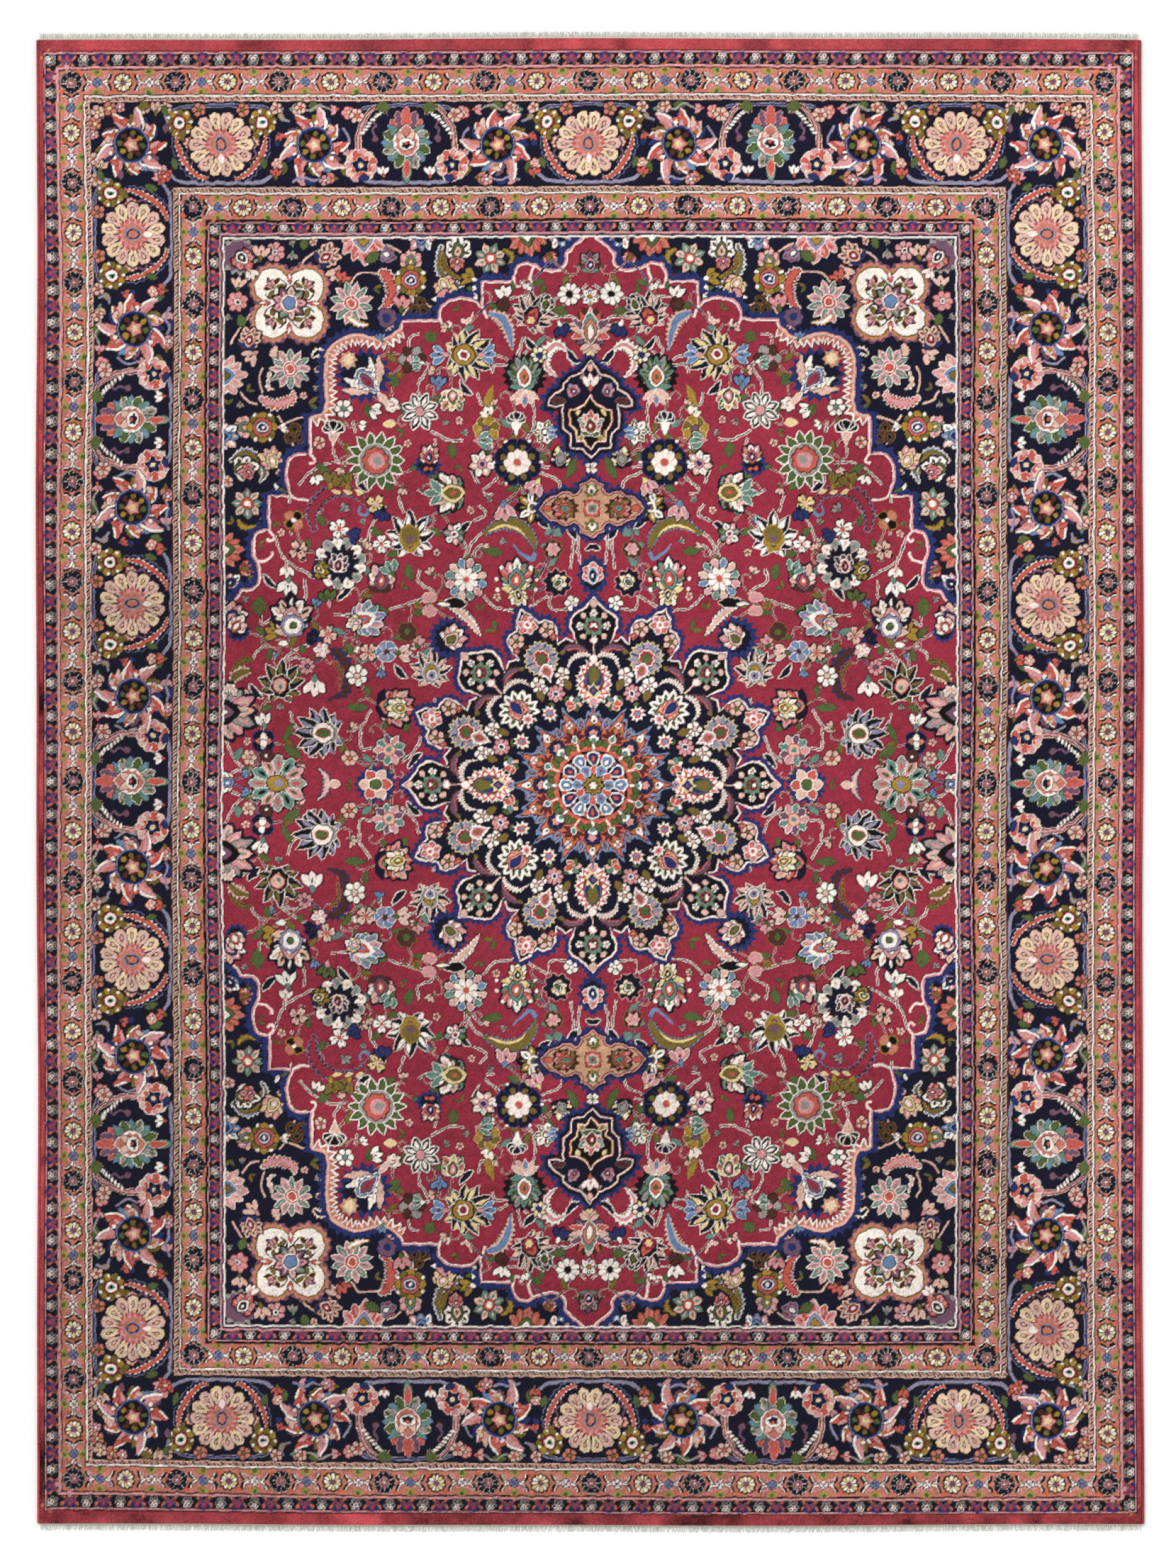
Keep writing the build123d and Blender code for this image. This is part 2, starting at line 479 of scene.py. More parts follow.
def guard_flower(run, u):
    """A cluster of white-ringed petals between two small leaves."""
    for s in (-1, 1):
        leaf(run.at(u + s * 13, -14), 27, 5, run.angle(90 + s * 24), BROWN, INK, 1.5, bend=0.1 * s)
        leaf(run.at(u + s * 22, 12), 15, 4, run.angle(-90 + s * 30), ORANGE)
    disc(run.at(u, -1), 16, INK)
    for x, y, size in (
        (-6, -9, 5.4), (6, -9, 5.4), (-10, 1, 5.4), (10, 1, 5.4), (-5, 9, 4.8), (5, 9, 4.8), (0, 1, 5)
    ):
        disc(run.at(u + x, y), size, CREAM if y > 3 or x == 0 else GREY)
        disc(run.at(u + x, y), 3.0, NAVY if y < 5 else MAUVE)
    disc(run.at(u, 1), 2.4, CORAL)


def guard_trefoil(run, u):
    """A rose and crimson flower over a blue bell."""
    leaf(run.at(u, 17), 20, 17, run.angle(-90), BLUE, MAUVE, 2, belly=0.3)
    for x, y in ((-9, -5), (9, -5), (0, 6)):
        burst(run.at(u + x, y), 8.4, CRIMSON if y > 0 else MAUVE, 6, 0.2)
        burst(run.at(u + x, y), 5.0, ROSE if y > 0 else CRIMSON, 5, 0.3)
    burst(run.at(u, -3), 5.5, MAUVE, 5, 0.3)
    for s in (-1, 1):
        disc(run.at(u + s * 15, -13), 3.4, ORANGE)
        disc(run.at(u + s * 20, -14), 3, OLIVE)


def guard(name):
    """A narrow dark band of small flowers, with fine lines at both edges."""
    outer_x, outer_y, inner_x, inner_y = EDGES[name]
    frame_lines(outer_x, outer_y, (INK, PINK, INK, NAVY))
    for run, length, _ in runs(name):
        count = round(length / 87)
        pitch = length / count
        for k in range(count + 1):
            guard_trefoil(run, (k - 0.5) * pitch)
            guard_flower(run, k * pitch)
    if name == "outer_guard":
        frame_lines(inner_x + 7, inner_y + 7, (PINK, PINK, INK))
    else:
        frame_lines(inner_x + 14, inner_y + 14, (PINK, MAUVE, INK, CREAM))


def wheel(at):
    """A dark rosette with pale spokes."""
    disc(at, 29.5, INK)
    ring(at, 10, 8, 28.5, 8.2, [NAVY], CREAM, 9, 0.55, belly=0.72, blunt=0.35)
    disc(at, 12, MAUVE, SAND, 1.0)
    burst(at, 10, SALMON, 8, 0.4)
    disc(at, 4.6, MAUVE)
    disc(at, 2.6, CREAM)


def salmon_daisy(at):
    """A ten-petalled cream daisy with dark edges."""
    ring(at, 11, 4, 27.5, 6.6, [INK], belly=0.72, blunt=0.4)
    ring(at, 11, 6, 22.5, 3.9, [CREAM, GOLD], OLIVE, 0, 1.0, belly=0.72, blunt=0.5)
    disc(at, 6.5, MAUVE, CRIMSON, 1.5)


def bracket(run, u, s):
    """A pale fork with dark tips, which opens away from the small cross flower."""
    for v in (-1, 1):
        route = np.array(
            [
                run.at(u + s * 14, 0), run.at(u + s * 24, v * 4), run.at(u + s * 31, v * 13),
                run.at(u + s * 33, v * 22),
            ],
        )
        stroke(route, 4.4, BROWN)
        stroke(route, 2.5, CREAM)
        stroke(route[1:] + 4 * s * run.along, 3.4, INK)


def salmon_border(name):
    """Wheels and daisies in turn on a salmon ground, with a small flower between them."""
    outer_x, outer_y, inner_x, inner_y = EDGES[name]
    frame_lines(outer_x, outer_y, (INK, SALMON))
    for run, length, half in runs(name):
        count = 2 * round(length / 266)
        if run.along.imag > 0.5 and name == "inner_border":
            count = 12
        pitch = length / count
        for k in range(count + 1):
            for v in (-1, 1):
                burst(run.at((k - 0.18 * v) * pitch, v * (half - 14)), 15, ORANGE, 9, 0.4, 0.6, run.turn)
                burst(run.at((k + 0.3 * v) * pitch, v * (half - 22)), 13, PINK, 7, 0.4, 0.7, run.turn)
        for k in range(count + 1):
            middle = (k - 0.5) * pitch
            burst(run.at(middle, 0), 22, PINK, 8, 0.3)
            for v in (-1, 1):
                leaf(
                    run.at(middle, v * (half - 2)), 20, 17, run.angle(-90 * v), LIME, ORANGE, 1.5,
                    belly=0.28, teeth=3,
                )
                leaf(run.at(middle, v * (half - 2)), 12, 6, run.angle(-90 * v), GREEN if k % 2 else OLIVE)
            for s in (-1, 1):
                bracket(run, middle, s)
            burst(run.at(middle), 15, MAUVE, 4, 0.4, turn=run.turn + 45)
            cross_flower(run.at(middle), 12, CREAM if k % 2 else SKY, MAUVE, run.turn)
        for k in range(count + 1):
            if (count - k) % 2:
                salmon_daisy(run.at(k * pitch))
            else:
                wheel(run.at(k * pitch))
    frame_lines(inner_x + 3.4, inner_y + 3.4, (INK,))


def barber_stripe(name):
    """A plain ground for the slanting stripes, which are laid on the whole carpet later."""
    outer_x, outer_y, inner_x, inner_y = EDGES[name]
    frame_lines(outer_x, outer_y, (CREAM, BROWN, SAND) if name == "outer_barber_stripe" else (BROWN, SAND))
    if name == "outer_barber_stripe":
        frame_lines(inner_x + 3, inner_y + 3, (INK,))
    else:
        frame_lines(inner_x + 6.8, inner_y + 6.8, (BROWN, CREAM))


# ---------------------------------------------------------------- main border


def flame_flower(at, spin):
    """A whirling flame flower round a blue-ringed eye, with blue and gold tips between the flames."""
    for k in range(12):
        direction = 30 * k + 14 * spin
        tip = (BLUE, SAND, MAUVE, SKY, OLIVE, BLUE)[k % 6]
        leaf(
            at + 38 * turned(direction), 46, 13, direction + spin * 16, tip, INK, 1.4, belly=0.5,
            bend=0.3 * spin, teeth=3,
        )
    for k in range(9):
        direction = 40 * k - 8
        reach = (62, 44, 54)[k % 3]
        start = at + 34 * turned(direction)
        side_step = turned(direction) * 1j * spin
        leaf(start, reach, 14.5, direction - 10 * spin, CREAM, INK, 1.8, bend=0.62 * spin, belly=0.34)
        leaf(
            start + 4 * side_step, reach * 0.95, 12, direction - 9 * spin, CORAL if k % 3 else PINK,
            bend=0.62 * spin, belly=0.36,
        )
        leaf(
            start + 6 * turned(direction) + 8 * side_step, reach * 0.6, 5, direction,
            PINK if k % 3 else SALMON, bend=0.5 * spin,
        )
        leaf(
            start + 8 * turned(direction) - 5 * side_step, reach * 0.3, 3.4, direction,
            (BLUE, MUSTARD, CRIMSON)[k % 3],
        )
    for k in range(6):
        direction = 60 * k + 25
        leaf(
            at + 68 * turned(direction), 24, 7, direction + 120 * spin, CORAL if k % 2 else SAND, INK, 1.2,
            bend=-0.3 * spin,
        )
        disc(at + 58 * turned(direction + 12), 5, CREAM if k % 2 else MUSTARD)
    disc(at, 50, INK)
    disc(at, 47, LILAC, squash=1.06)
    disc(at, 44.5, BLUE, squash=1.06)
    disc(at, 40, INK, squash=1.04)
    for k in range(8):
        leaf(
            at + 20 * turned(45 * k), 19, 7.5, 45 * k + 20, (GREEN, BROWN, OLIVE, MUSTARD)[k % 4], belly=0.6
        )
    layers(
        at, 27, 0, 1.0,
        ((1, BROWN, 7, 0.3), (0.84, SALMON, 5, 0.36), (0.6, PINK, 5, 0.3), (0.36, GOLD, 5, 0.3)),
    )


def teal_palmette(run, u):
    """A teal palmette with a flaming heart, and a curved stem with a flower on each side."""

    def spot(x, y):
        """A point beside the motif, on its left or its right."""
        return run.at(u + s * x, y)

    def spots(*pairs):
        """A route of such points."""
        return np.array([spot(*pair) for pair in pairs])

    centre = run.at(u, 6)
    up = run.angle(90)
    top = turned(up)
    for s in (-1, 1):
        stem = spots((130, -20), (126, 30), (108, 72), (84, 98), (60, 96), (54, 78))
        stroke(stem, 9, SAND, 0.5)
        stroke(stem, 6.5, INK, 0.5)
        stroke(stem[:4], 4, PINK, 0.6)
        for k in range(9):
            barb = stem[1] + (stem[4] - stem[1]) * k / 9 + 6 * top * math.sin(k / 9 * math.pi)
            leaf(barb, 15, 3.4, run.angle(90 + s * 95), CREAM)
        blossom = spot(122, -56)
        ring(blossom, 11, 16, 43, 11, [PINK, SAND, CORAL], CREAM, 0, 1.8, belly=0.7, blunt=0.7)
        disc(blossom, 27, CORAL, teeth=9, depth=0.2)
        disc(blossom, 20, NAVY, CREAM, 1, teeth=5, depth=0.3)
        disc(blossom, 12, BLUE)
        disc(blossom, 6.5, GOLD)
        bud(spot(62, -84), 26, run.angle(90), CREAM, None, CORAL)
        daisy(spot(132, 76), 20, SAND, None, CORAL, 6)
        disc(spot(84, 14), 8, MAUVE, BROWN, 2)
        stroke(spots((84, 20), (90, 36), (80, 50), (92, 62)), 3, MAUVE)
        leaf(spot(44, 98), 36, 14, run.angle(180 if s < 0 else 0), GREEN, OLIVE, 1.5)
        leaf(spot(100, -84), 30, 9, run.angle(200 if s < 0 else -20), BLUE, INK, 1.5)
    for lean in (-40, 40, -20, 20, 0):
        leaf(
            centre + top * 10, 84 - abs(lean) * 0.5, 15, up + lean, MAUVE if lean % 40 else CORAL, PINK,
            2.0, belly=0.62, teeth=3,
        )
    for k in range(13):
        lean = (k - 6) * 22 + 180
        leaf(
            centre, 82 - 8 * abs(k - 6) ** 0.5, 14, up + lean, (TEAL, GREY, TEAL, GREEN)[k % 4],
            CREAM if k % 2 else INK, 1.6, belly=0.7, teeth=4, depth=0.24,
        )
        leaf(centre + 50 * turned(up + lean), 18, 4, up + lean, GREEN if k % 2 else SKY)
    leaf(centre - top * 60, 52, 12, up + 180, TEAL, INK, 2, belly=0.4)
    leaf(centre - top * 48, 50, 9, up + 180, CORAL, SAND, 1.6, belly=0.4)
    leaf(centre - top * 42, 88, 36, up, CREAM, INK, 1.8, belly=0.46)
    leaf(centre - top * 38, 80, 31, up, SALMON, PINK, 2, belly=0.46, teeth=5, depth=0.2)
    for lean in (-30, 30):
        leaf(centre - top * 10, 44, 10, up + lean, SAND, BROWN, 1.6)
    disc(centre - top * 6, 21, CREAM, INK, 1.6, squash=0.75, turn=up + 90)
    disc(centre - top * 8, 14, NAVY, teeth=4, depth=0.3, squash=0.7, turn=up + 90)
    disc(centre - top * 2, 5, CORAL)


def main_rosette(run, u):
    """A large pale rosette held by two curved leaves, with mustard flowers at its shoulders."""

    def spot(x, y):
        """A point beside the motif, on its left or its right."""
        return run.at(u + s * x, y)

    def spots(*pairs):
        """A route of such points."""
        return np.array([spot(*pair) for pair in pairs])

    for s in (-1, 1):
        shoulder = spot(110, 58)
        ring(shoulder, 9, 12, 38, 10, [OLIVE, MUSTARD], INK, 10, 1.4, belly=0.66, blunt=0.6)
        for k in range(7):
            disc(shoulder + 31 * turned(51 * k + 25), 4.0, CREAM)
        disc(shoulder, 18, CRIMSON, INK, 1.5, squash=1.1, turn=run.turn)
        disc(shoulder, 14, CREAM, squash=1.1, turn=run.turn)
        disc(shoulder, 9, TEAL, squash=0.7)
        disc(shoulder, 4, INK)
        route = [(118, 24), (114, -8), (98, -44), (72, -76), (44, -92), (36, -84)]
        outer = spots(*((x + 7, v - 5) for x, v in route))
        inner = spots(*route)
        feather(outer, 10, BLUE, LILAC, NAVY, 11, 1.2)
        feather(inner, 10, CREAM, INK, CORAL, 15, 1.4, core=0.6)
        daisy(spot(84, 4), 15, SAND, CORAL, CREAM, 7)
        stroke(spots((86, -12), (92, -30), (76, -44), (84, -58)), 2.6, MAUVE)
        daisy(spot(58, 92), 18, SALMON, BROWN, OLIVE, 5)
        leaf(spot(100, 10), 26, 8, run.angle(60), OLIVE)
        daisy(spot(146, 96), 16, SAND, None, CORAL, 5)
        leaf(spot(118, -66), 34, 11, run.angle(70), GREEN, INK, 1.4, teeth=3)
        bud(spot(146, -88), 26, run.angle(90), CORAL, None, OLIVE)
    rosette(run.at(u), 87, [SAND, WHEAT], LILAC, run.turn)
    leaf(run.at(u, -52), 26, 8, run.angle(90), CREAM, PINK, 2.0)


def scalloped_vine(run, u, length):
    """A pale blue line that arches over a motif along both edges of the border."""
    for v in (-1, 1):
        arch = [(-0.5, 82), (-0.4, 98), (-0.15, 103), (0.15, 103), (0.4, 98), (0.5, 82)]
        route = np.array([run.at(u + x * length, v * y) for x, y in arch])
        stroke(route, 4.6, LILAC)
        stroke(route, 2.0, BLUE if v > 0 else LILAC)


def filler_sprigs(run, u, s):
    """Small buds and leaves in the gaps round a flame flower."""

    def spot(x, y):
        """A point beside the motif, on its left or its right."""
        return run.at(u + s * x, y)

    def spots(*pairs):
        """A route of such points."""
        return np.array([spot(*pair) for pair in pairs])

    for x, y, size, turn, colour, base in (
        (62, 92, 28, 180, SAND, TEAL),
        (-64, 92, 24, 0, PINK, CORAL),
        (50, -92, 30, 180, PINK, BLUE),
        (-58, -90, 28, 0, SALMON, OLIVE),
        (96, 30, 22, 250, CORAL, MAUVE),
        (-92, -34, 22, 80, PINK, BLUE),
    ):
        bud(run.at(u + s * x, y), size, run.angle(turn if s > 0 else 180 - turn), colour, None, base)
    for x, y, length, turn, colour in (
        (16, 104, 36, 190, GREEN),
        (20, 104, 34, -10, OLIVE),
        (94, 84, 26, 240, MUSTARD),
        (86, -82, 36, 100, GREEN),
        (-88, -84, 30, 60, OLIVE),
        (-4, -104, 34, 20, BLUE),
    ):
        leaf(
            run.at(u + s * x, y), length, length * 0.36, run.angle(turn if s > 0 else 180 - turn), colour,
            INK, 1.2, teeth=3, belly=0.5,
        )
    daisy(spot(-92, 84), 17, PINK, CORAL, GOLD, 5)
    daisy(spot(100, -52), 14, SAND, CORAL, CREAM, 5)
    stroke(spots((66, 62), (90, 72), (84, 96)), 3.0, LILAC)
    stroke(spots((-76, 46), (-94, 14), (-84, -14)), 3.0, LILAC)
    stroke(spots((40, 98), (12, 90), (-14, 104), (-40, 94)), 3.0, GREY)
    stroke(spots((60, -98), (28, -88), (4, -96), (-30, -86)), 3.0, LILAC)
    daisy(spot(36, 96), 15, SAND, BROWN, CORAL, 5)
    daisy(spot(-30, -96), 15, PINK, BROWN, CREAM, 5)
    disc(spot(97, 2), 8, BLUE, INK, 1)
    disc(spot(-94, -52), 7, BLUE, MAUVE, 2)


def main_border():
    """Flame flowers between pale rosettes and teal palmettes, on dark blue."""
    outer_x, outer_y, inner_x, inner_y = EDGES["main_border"]
    rectangle(outer_x, outer_y, NAVY)
    (end, _, _), (long_side, _, _) = runs("main_border")
    for run, marks, steps in (
        (end, (0, 243, 488, 735, 983), ("rosette", "flame", "teal", "flame", "rosette")),
        (
            long_side, (0, 228, 475, 732, 968, 1210, 1462),
            ("teal", "flame", "rosette", "flame", "teal", "flame", "rosette"),
        ),
    ):
        for k, (u, kind) in enumerate(zip(marks, steps)):
            if kind != "flame":
                scalloped_vine(run, u, 270)
        for k, (u, kind) in enumerate(zip(marks, steps)):
            if kind == "flame":
                filler_sprigs(run, u, 1 if steps[k - 1] == "teal" else -1)
        for k, (u, kind) in enumerate(zip(marks, steps)):
            if kind == "teal":
                teal_palmette(run, u)
            if kind == "rosette":
                main_rosette(run, u)
        for k, (u, kind) in enumerate(zip(marks, steps)):
            if kind == "flame":
                flame_flower(run.at(u, -2), 1 if k % 4 == 1 else -1)
    corner = (outer_x + inner_x) / 2 + 1j * (outer_y + inner_y) / 2
    for mirror in (1, -1):

        def spot(x, y):
            """A point of the corner's design, or its mirror image across the diagonal."""
            return corner + (complex(x, y) if mirror > 0 else complex(y, x))

        stroke(
            np.array([spot(*xy) for xy in ((-96, 58), (-84, 92), (-56, 100), (-30, 88), (-20, 74))]), 3.2,
            LILAC,
        )
        stroke(np.array([spot(*xy) for xy in ((22, 92), (44, 104), (70, 90), (76, 70))]), 3.0, GREY)
        stroke(np.array([spot(*xy) for xy in ((-84, -104), (-60, -70), (-40, -66))]), 4.2, LILAC)
        bud(spot(-66, 84), 30, 100, SAND, BROWN, OLIVE)
        daisy(spot(-36, 98), 17, SAND, BROWN, CORAL, 5)
        leaf(spot(-14, 98), 40, 13, 170, OLIVE, INK, 1.4, teeth=3)
        leaf(spot(-96, 76), 30, 10, 60, GREEN, INK, 1.4, teeth=3)
        daisy(spot(58, 96), 19, SALMON, BROWN, GOLD, 5)
        daisy(spot(28, 100), 13, PINK, BROWN, CREAM, 5)
        leaf(spot(-92, 30), 26, 8, 90, MAUVE, INK, 1.4)
        bud(spot(-78, -92), 26, 40, PINK, None, OLIVE)
    daisy(corner + 88 + 88j, 19, SAND, BROWN, GOLD, 5)
    daisy(corner - 86 - 86j, 16, CORAL, BROWN, SAND, 5)
    flame_flower(corner, -1)


# ---------------------------------------------------------------- medallion


# Half of each lobe, as angles from its axis and radii, from its root to its tip
WIDE_LOBE = ((6.9, 386), (8.1, 408), (8.8, 428), (8.2, 449), (6.6, 463), (3.8, 474), (1.5, 489), (0, 505))
NARROW_LOBE = (
    *((8.4, 392), (9.1, 412), (9.2, 432), (8.4, 452), (6.4, 463)),
    *((4.1, 462), (3.7, 471), (2.7, 487), (1.3, 499), (0, 511)),
)


def medallion_outline():
    """Sixteen ogee lobes, wide ones on the axes and diagonals, and a small peak in each gap."""
    outline = []
    for lobe in range(16):
        lean, reach = np.array(NARROW_LOBE if lobe % 2 else WIDE_LOBE, float).T
        middle = 22.5 * lobe
        peak = 404 * turned(middle + (12.0 if lobe % 2 else 10.5))
        outline += [reach * turned(middle - lean), (reach * turned(middle + lean))[-2::-1], [peak]]
    return np.concatenate(outline)


def polar(turn, *pairs):
    """Points given as radii and angles from a direction."""
    return np.array([radius * turned(turn + angle) for radius, angle in pairs])


def layers(at, size, turn, squash, stack):
    """Toothed ovals one inside the other: each has a share of the size, a colour, and its teeth."""
    for share, colour, spikes, depth in stack:
        burst(at, size * share, colour, spikes, depth, squash, turn)


def lobe_cross(at, turn, size):
    """The teal flower in a wide lobe, ringed by small pale ones."""
    burst(at, size * 1.12, INK, 8, 0.08)
    for k in range(8):
        spot = at + size * 0.82 * turned(turn + 45 * k)
        if k % 2:
            leaf(
                spot - size * 0.1 * turned(turn + 45 * k), size * 0.4, size * 0.2, turn + 45 * k, SAND,
                BROWN, 1.5,
            )
        else:
            daisy(spot, size * 0.24, CREAM, BROWN, SAND, 5)
    burst(at, size * 0.72, TEAL, 8, 0.28, turn=turn)
    burst(at, size * 0.58, OLIVE, 8, 0.24, turn=turn + 22)
    burst(at, size * 0.52, TEAL, 8, 0.2, turn=turn)
    burst(at, size * 0.4, INK, 8, 0.12)
    burst(at, size * 0.36, CRIMSON, 6, 0.12)
    burst(at, size * 0.24, INK, 6, 0.1)
    for spread in (-60, 0, 60, 180):
        leaf(at, size * 0.26, size * 0.09, turn - 45 + spread, CREAM if spread < 180 else GREEN)


def grey_palmette(at, turn, size):
    """A lilac-grey toothed palmette with a green heart, and a pink fan that hangs from it."""
    forward = turned(turn)
    root = at - forward * size * 0.75
    leaf(root - forward * size * 0.75, size * 1.3, size * 0.62, turn, INK, belly=0.66)
    stack = ((1.12, INK, 19, 0.1), (1.06, GOLD, 19, 0.16), (1.0, SKY, 19, 0.2), (0.84, GREY, 17, 0.2))
    layers(at, size, turn, 0.98, stack)
    for k in range(19):
        leaf(
            at + size * 0.5 * turned(turn + 19 * k), size * 0.46, size * 0.05, turn + 19 * k,
            (LILAC, PINK, BLUE)[k % 3],
        )
    stack = (
        (0.6, MAUVE, 11, 0.1), (0.55, CREAM, 9, 0.14), (0.5, CORAL, 9, 0.16), (0.42, CRIMSON, 9, 0.16),
        (0.36, GREEN, 7, 0.3),
    )
    layers(at, size, turn, 0.92, stack)
    leaf(
        root - forward * size * 0.8, size * 1.25, size * 0.5, turn, CREAM, BROWN, 1.4, belly=0.66, teeth=6,
        depth=0.26,
    )
    leaf(
        root - forward * size * 0.62, size * 0.98, size * 0.36, turn, PINK, belly=0.66, teeth=5, depth=0.26
    )
    leaf(root - forward * size * 0.3, size * 0.52, size * 0.14, turn, CORAL, MAUVE, 2.0)
    leaf(root - forward * size * 0.1, size * 0.24, size * 0.08, turn, OLIVE)


def axis_palmette(at, turn):
    """A coral and white palmette round a blue almond with a green heart."""
    forward = turned(turn)
    stack = (
        *((72, INK, 15, 0.14), (67, CREAM, 15, 0.26), (62, CORAL, 15, 0.3), (49, CREAM, 15, 0.22)),
        *((44, CORAL, 13, 0.26), (36, CRIMSON, 11, 0.16)),
    )
    layers(at, 1.0, turn, 0.76, stack)
    for k in range(15):
        leaf(
            at + 44 * (np.cos(np.radians(24 * k + 12)) + 0.74j * np.sin(np.radians(24 * k + 12))) * forward,
            15, 3.4, turn + 24 * k + 12, CREAM,
        )
    leaf(at - forward * 34, 84, 25, turn, MAUVE, INK, 1.5)
    leaf(at - forward * 28, 74, 20, turn, BLUE)
    leaf(at - forward * 4, 46, 12, turn, OLIVE, GREEN, 4)
    layers(
        at - forward * 22, 25, turn, 0.9, ((1, GOLD, 7, 0.4), (0.62, BLUE, 4, 0.3), (0.3, MAUVE, 4, 0.3))
    )
    leaf(at - forward * 66, 26, 15, turn, PINK, CREAM, 2.0, teeth=3)
    leaf(at + forward * 52, 24, 10, turn, CREAM, CORAL, 1.6)


def diagonal_palmette(at, turn):
    """White spikes with green hearts round a blue almond, and a pink flower at its foot."""
    forward = turned(turn)
    layers(at, 1.0, turn, 0.94, ((59, INK, 15, 0.16), (46, NAVY, 15, 0.1)))
    ring(at, 13, 24, 56, 10, [CREAM], None, turn, belly=0.4)
    ring(at, 13, 28, 46, 4.4, [GREEN], None, turn, belly=0.4)
    layers(
        at, 1.0, turn, 0.9,
        ((34, INK, 11, 0.14), (31, SALMON, 11, 0.2), (26, GOLD, 9, 0.3), (22, CORAL, 9, 0.2)),
    )
    leaf(at - forward * 18, 52, 15, turn, PINK, CRIMSON, 2.0)
    leaf(at - forward * 10, 40, 10, turn, BLUE, NAVY, 2.0)
    layers(
        at - forward * 34, 20, turn, 1.1,
        ((1.1, BROWN, 9, 0.2), (0.9, CREAM, 8, 0.36), (0.56, PINK, 6, 0.3), (0.26, CORAL, 5, 0.2)),
    )


def collar(turn, s):
    """The white hooked leaf round the head of a palmette, and the wine-red one outside it."""
    outer = polar(turn, (353, 2.5 * s), (371, 6.5 * s), (375, 10.5 * s), (363, 14.6 * s))
    feather(outer, 15, BROWN, INK, MAUVE, 7, 1.6)
    stroke(polar(turn, (358, 4 * s), (367, 7.6 * s), (368, 11.4 * s)), 4.2, SALMON, taper=0.8)
    stroke(polar(turn, (358, 4 * s), (366, 7.6 * s), (366, 11.0 * s)), 1.8, CRIMSON, taper=0.4)
    leaf(365 * turned(turn + s * 12), 17, 6, turn + s * 100, OLIVE)
    inner = polar(turn, (341, 0.8 * s), (351, 4 * s), (349, 7.6 * s), (336, 10.8 * s), (312, 12.6 * s))
    feather(inner, 9, CREAM, INK, SAND, 13, 1.2, core=0.24, depth=0.7)


def wide_lobe(turn):
    """What fills a lobe on an axis or a diagonal, down to its palmette."""
    out = turned(turn)
    stroke(np.array([out * 384, out * 346]), 2.2, SAND)
    lobe_cross(out * 425, turn, 43)
    leaf(out * 472, 24, 9, turn, SAND, BROWN, 1.6)
    leaf(out * 396, 18, 11, turn + 180, CREAM, PINK, 2.0, teeth=3)
    for s in (-1, 1):
        collar(turn, s)


def narrow_lobe(turn, towards_axis):
    """What fills a lobe between an axis and a diagonal, down to the inner star."""
    out = turned(turn)
    for s in (-1, 1):
        stroke(polar(turn, (404, 3.4 * s), (424, 5 * s)), 5.0, BROWN)
        daisy(434 * turned(turn + 5.7 * s), 20, SAND, BROWN, OLIVE, 5)
        daisy(412 * turned(turn + 7.4 * s), 9, CORAL, BROWN, SAND, 4)
    star_flower(out * 463, 27, [CORAL, PINK], CREAM, CORAL, CREAM, 6, turn)
    grey_palmette(out * 366, turn, 46)
    for s in (-1, 1):
        daisy(307 * turned(turn + 6.6 * s), 20, CREAM, BROWN, SAND, 5)
        daisy(290 * turned(turn + 5.2 * s), 13, CREAM, BROWN, PINK, 4)
        leaf(262 * turned(turn + 8.6 * s), 34, 9, turn, OLIVE, BROWN, 1.8)
        leaf(236 * turned(turn + 3.6 * s), 20, 7, turn + 60 * s, GREEN, INK, 1.4)
        flower = 224 * turned(turn + 9.0 * s)
        burst(flower, 25, INK, 9, 0.2)
        if s == towards_axis:
            for k, colour in enumerate((CREAM, TEAL, SAND, GREEN, CORAL, CORAL)):
                leaf(flower, 23, 8, turn + 60 * k, colour, CREAM if k > 3 else INK, 1.4, blunt=0.7)
        else:
            layers(flower, 24, turn, 0.9, ((1, CREAM, 9, 0.4), (0.62, CORAL, 6, 0.26), (0.34, SKY, 5, 0.3)))
    daisy(out * 265, 23, PINK, BROWN, BLUE)
    disc(out * 265, 9, CREAM)
    disc(out * 265, 6, BLUE)


def medallion():
    """The lobed medallion, its inner star and its middle rosette."""
    outline = medallion_outline()
    shadow(outline, 8, 17, 7.0)
    nested(outline, (0, PINK), (-1.6, CREAM), (-6.0, BROWN), (-9.0, INK), (-15.0, NAVY))
    for k in range(0, 16, 2):
        wide_lobe(22.5 * k)
    for k in range(1, 16, 2):
        narrow_lobe(22.5 * k, -1 if k % 4 == 1 else 1)
    for k in range(0, 16, 4):
        axis_palmette(turned(22.5 * k) * 274, 22.5 * k)
        diagonal_palmette(turned(22.5 * k + 45) * 282, 22.5 * k + 45)
    inner_star()
    middle_rosette()


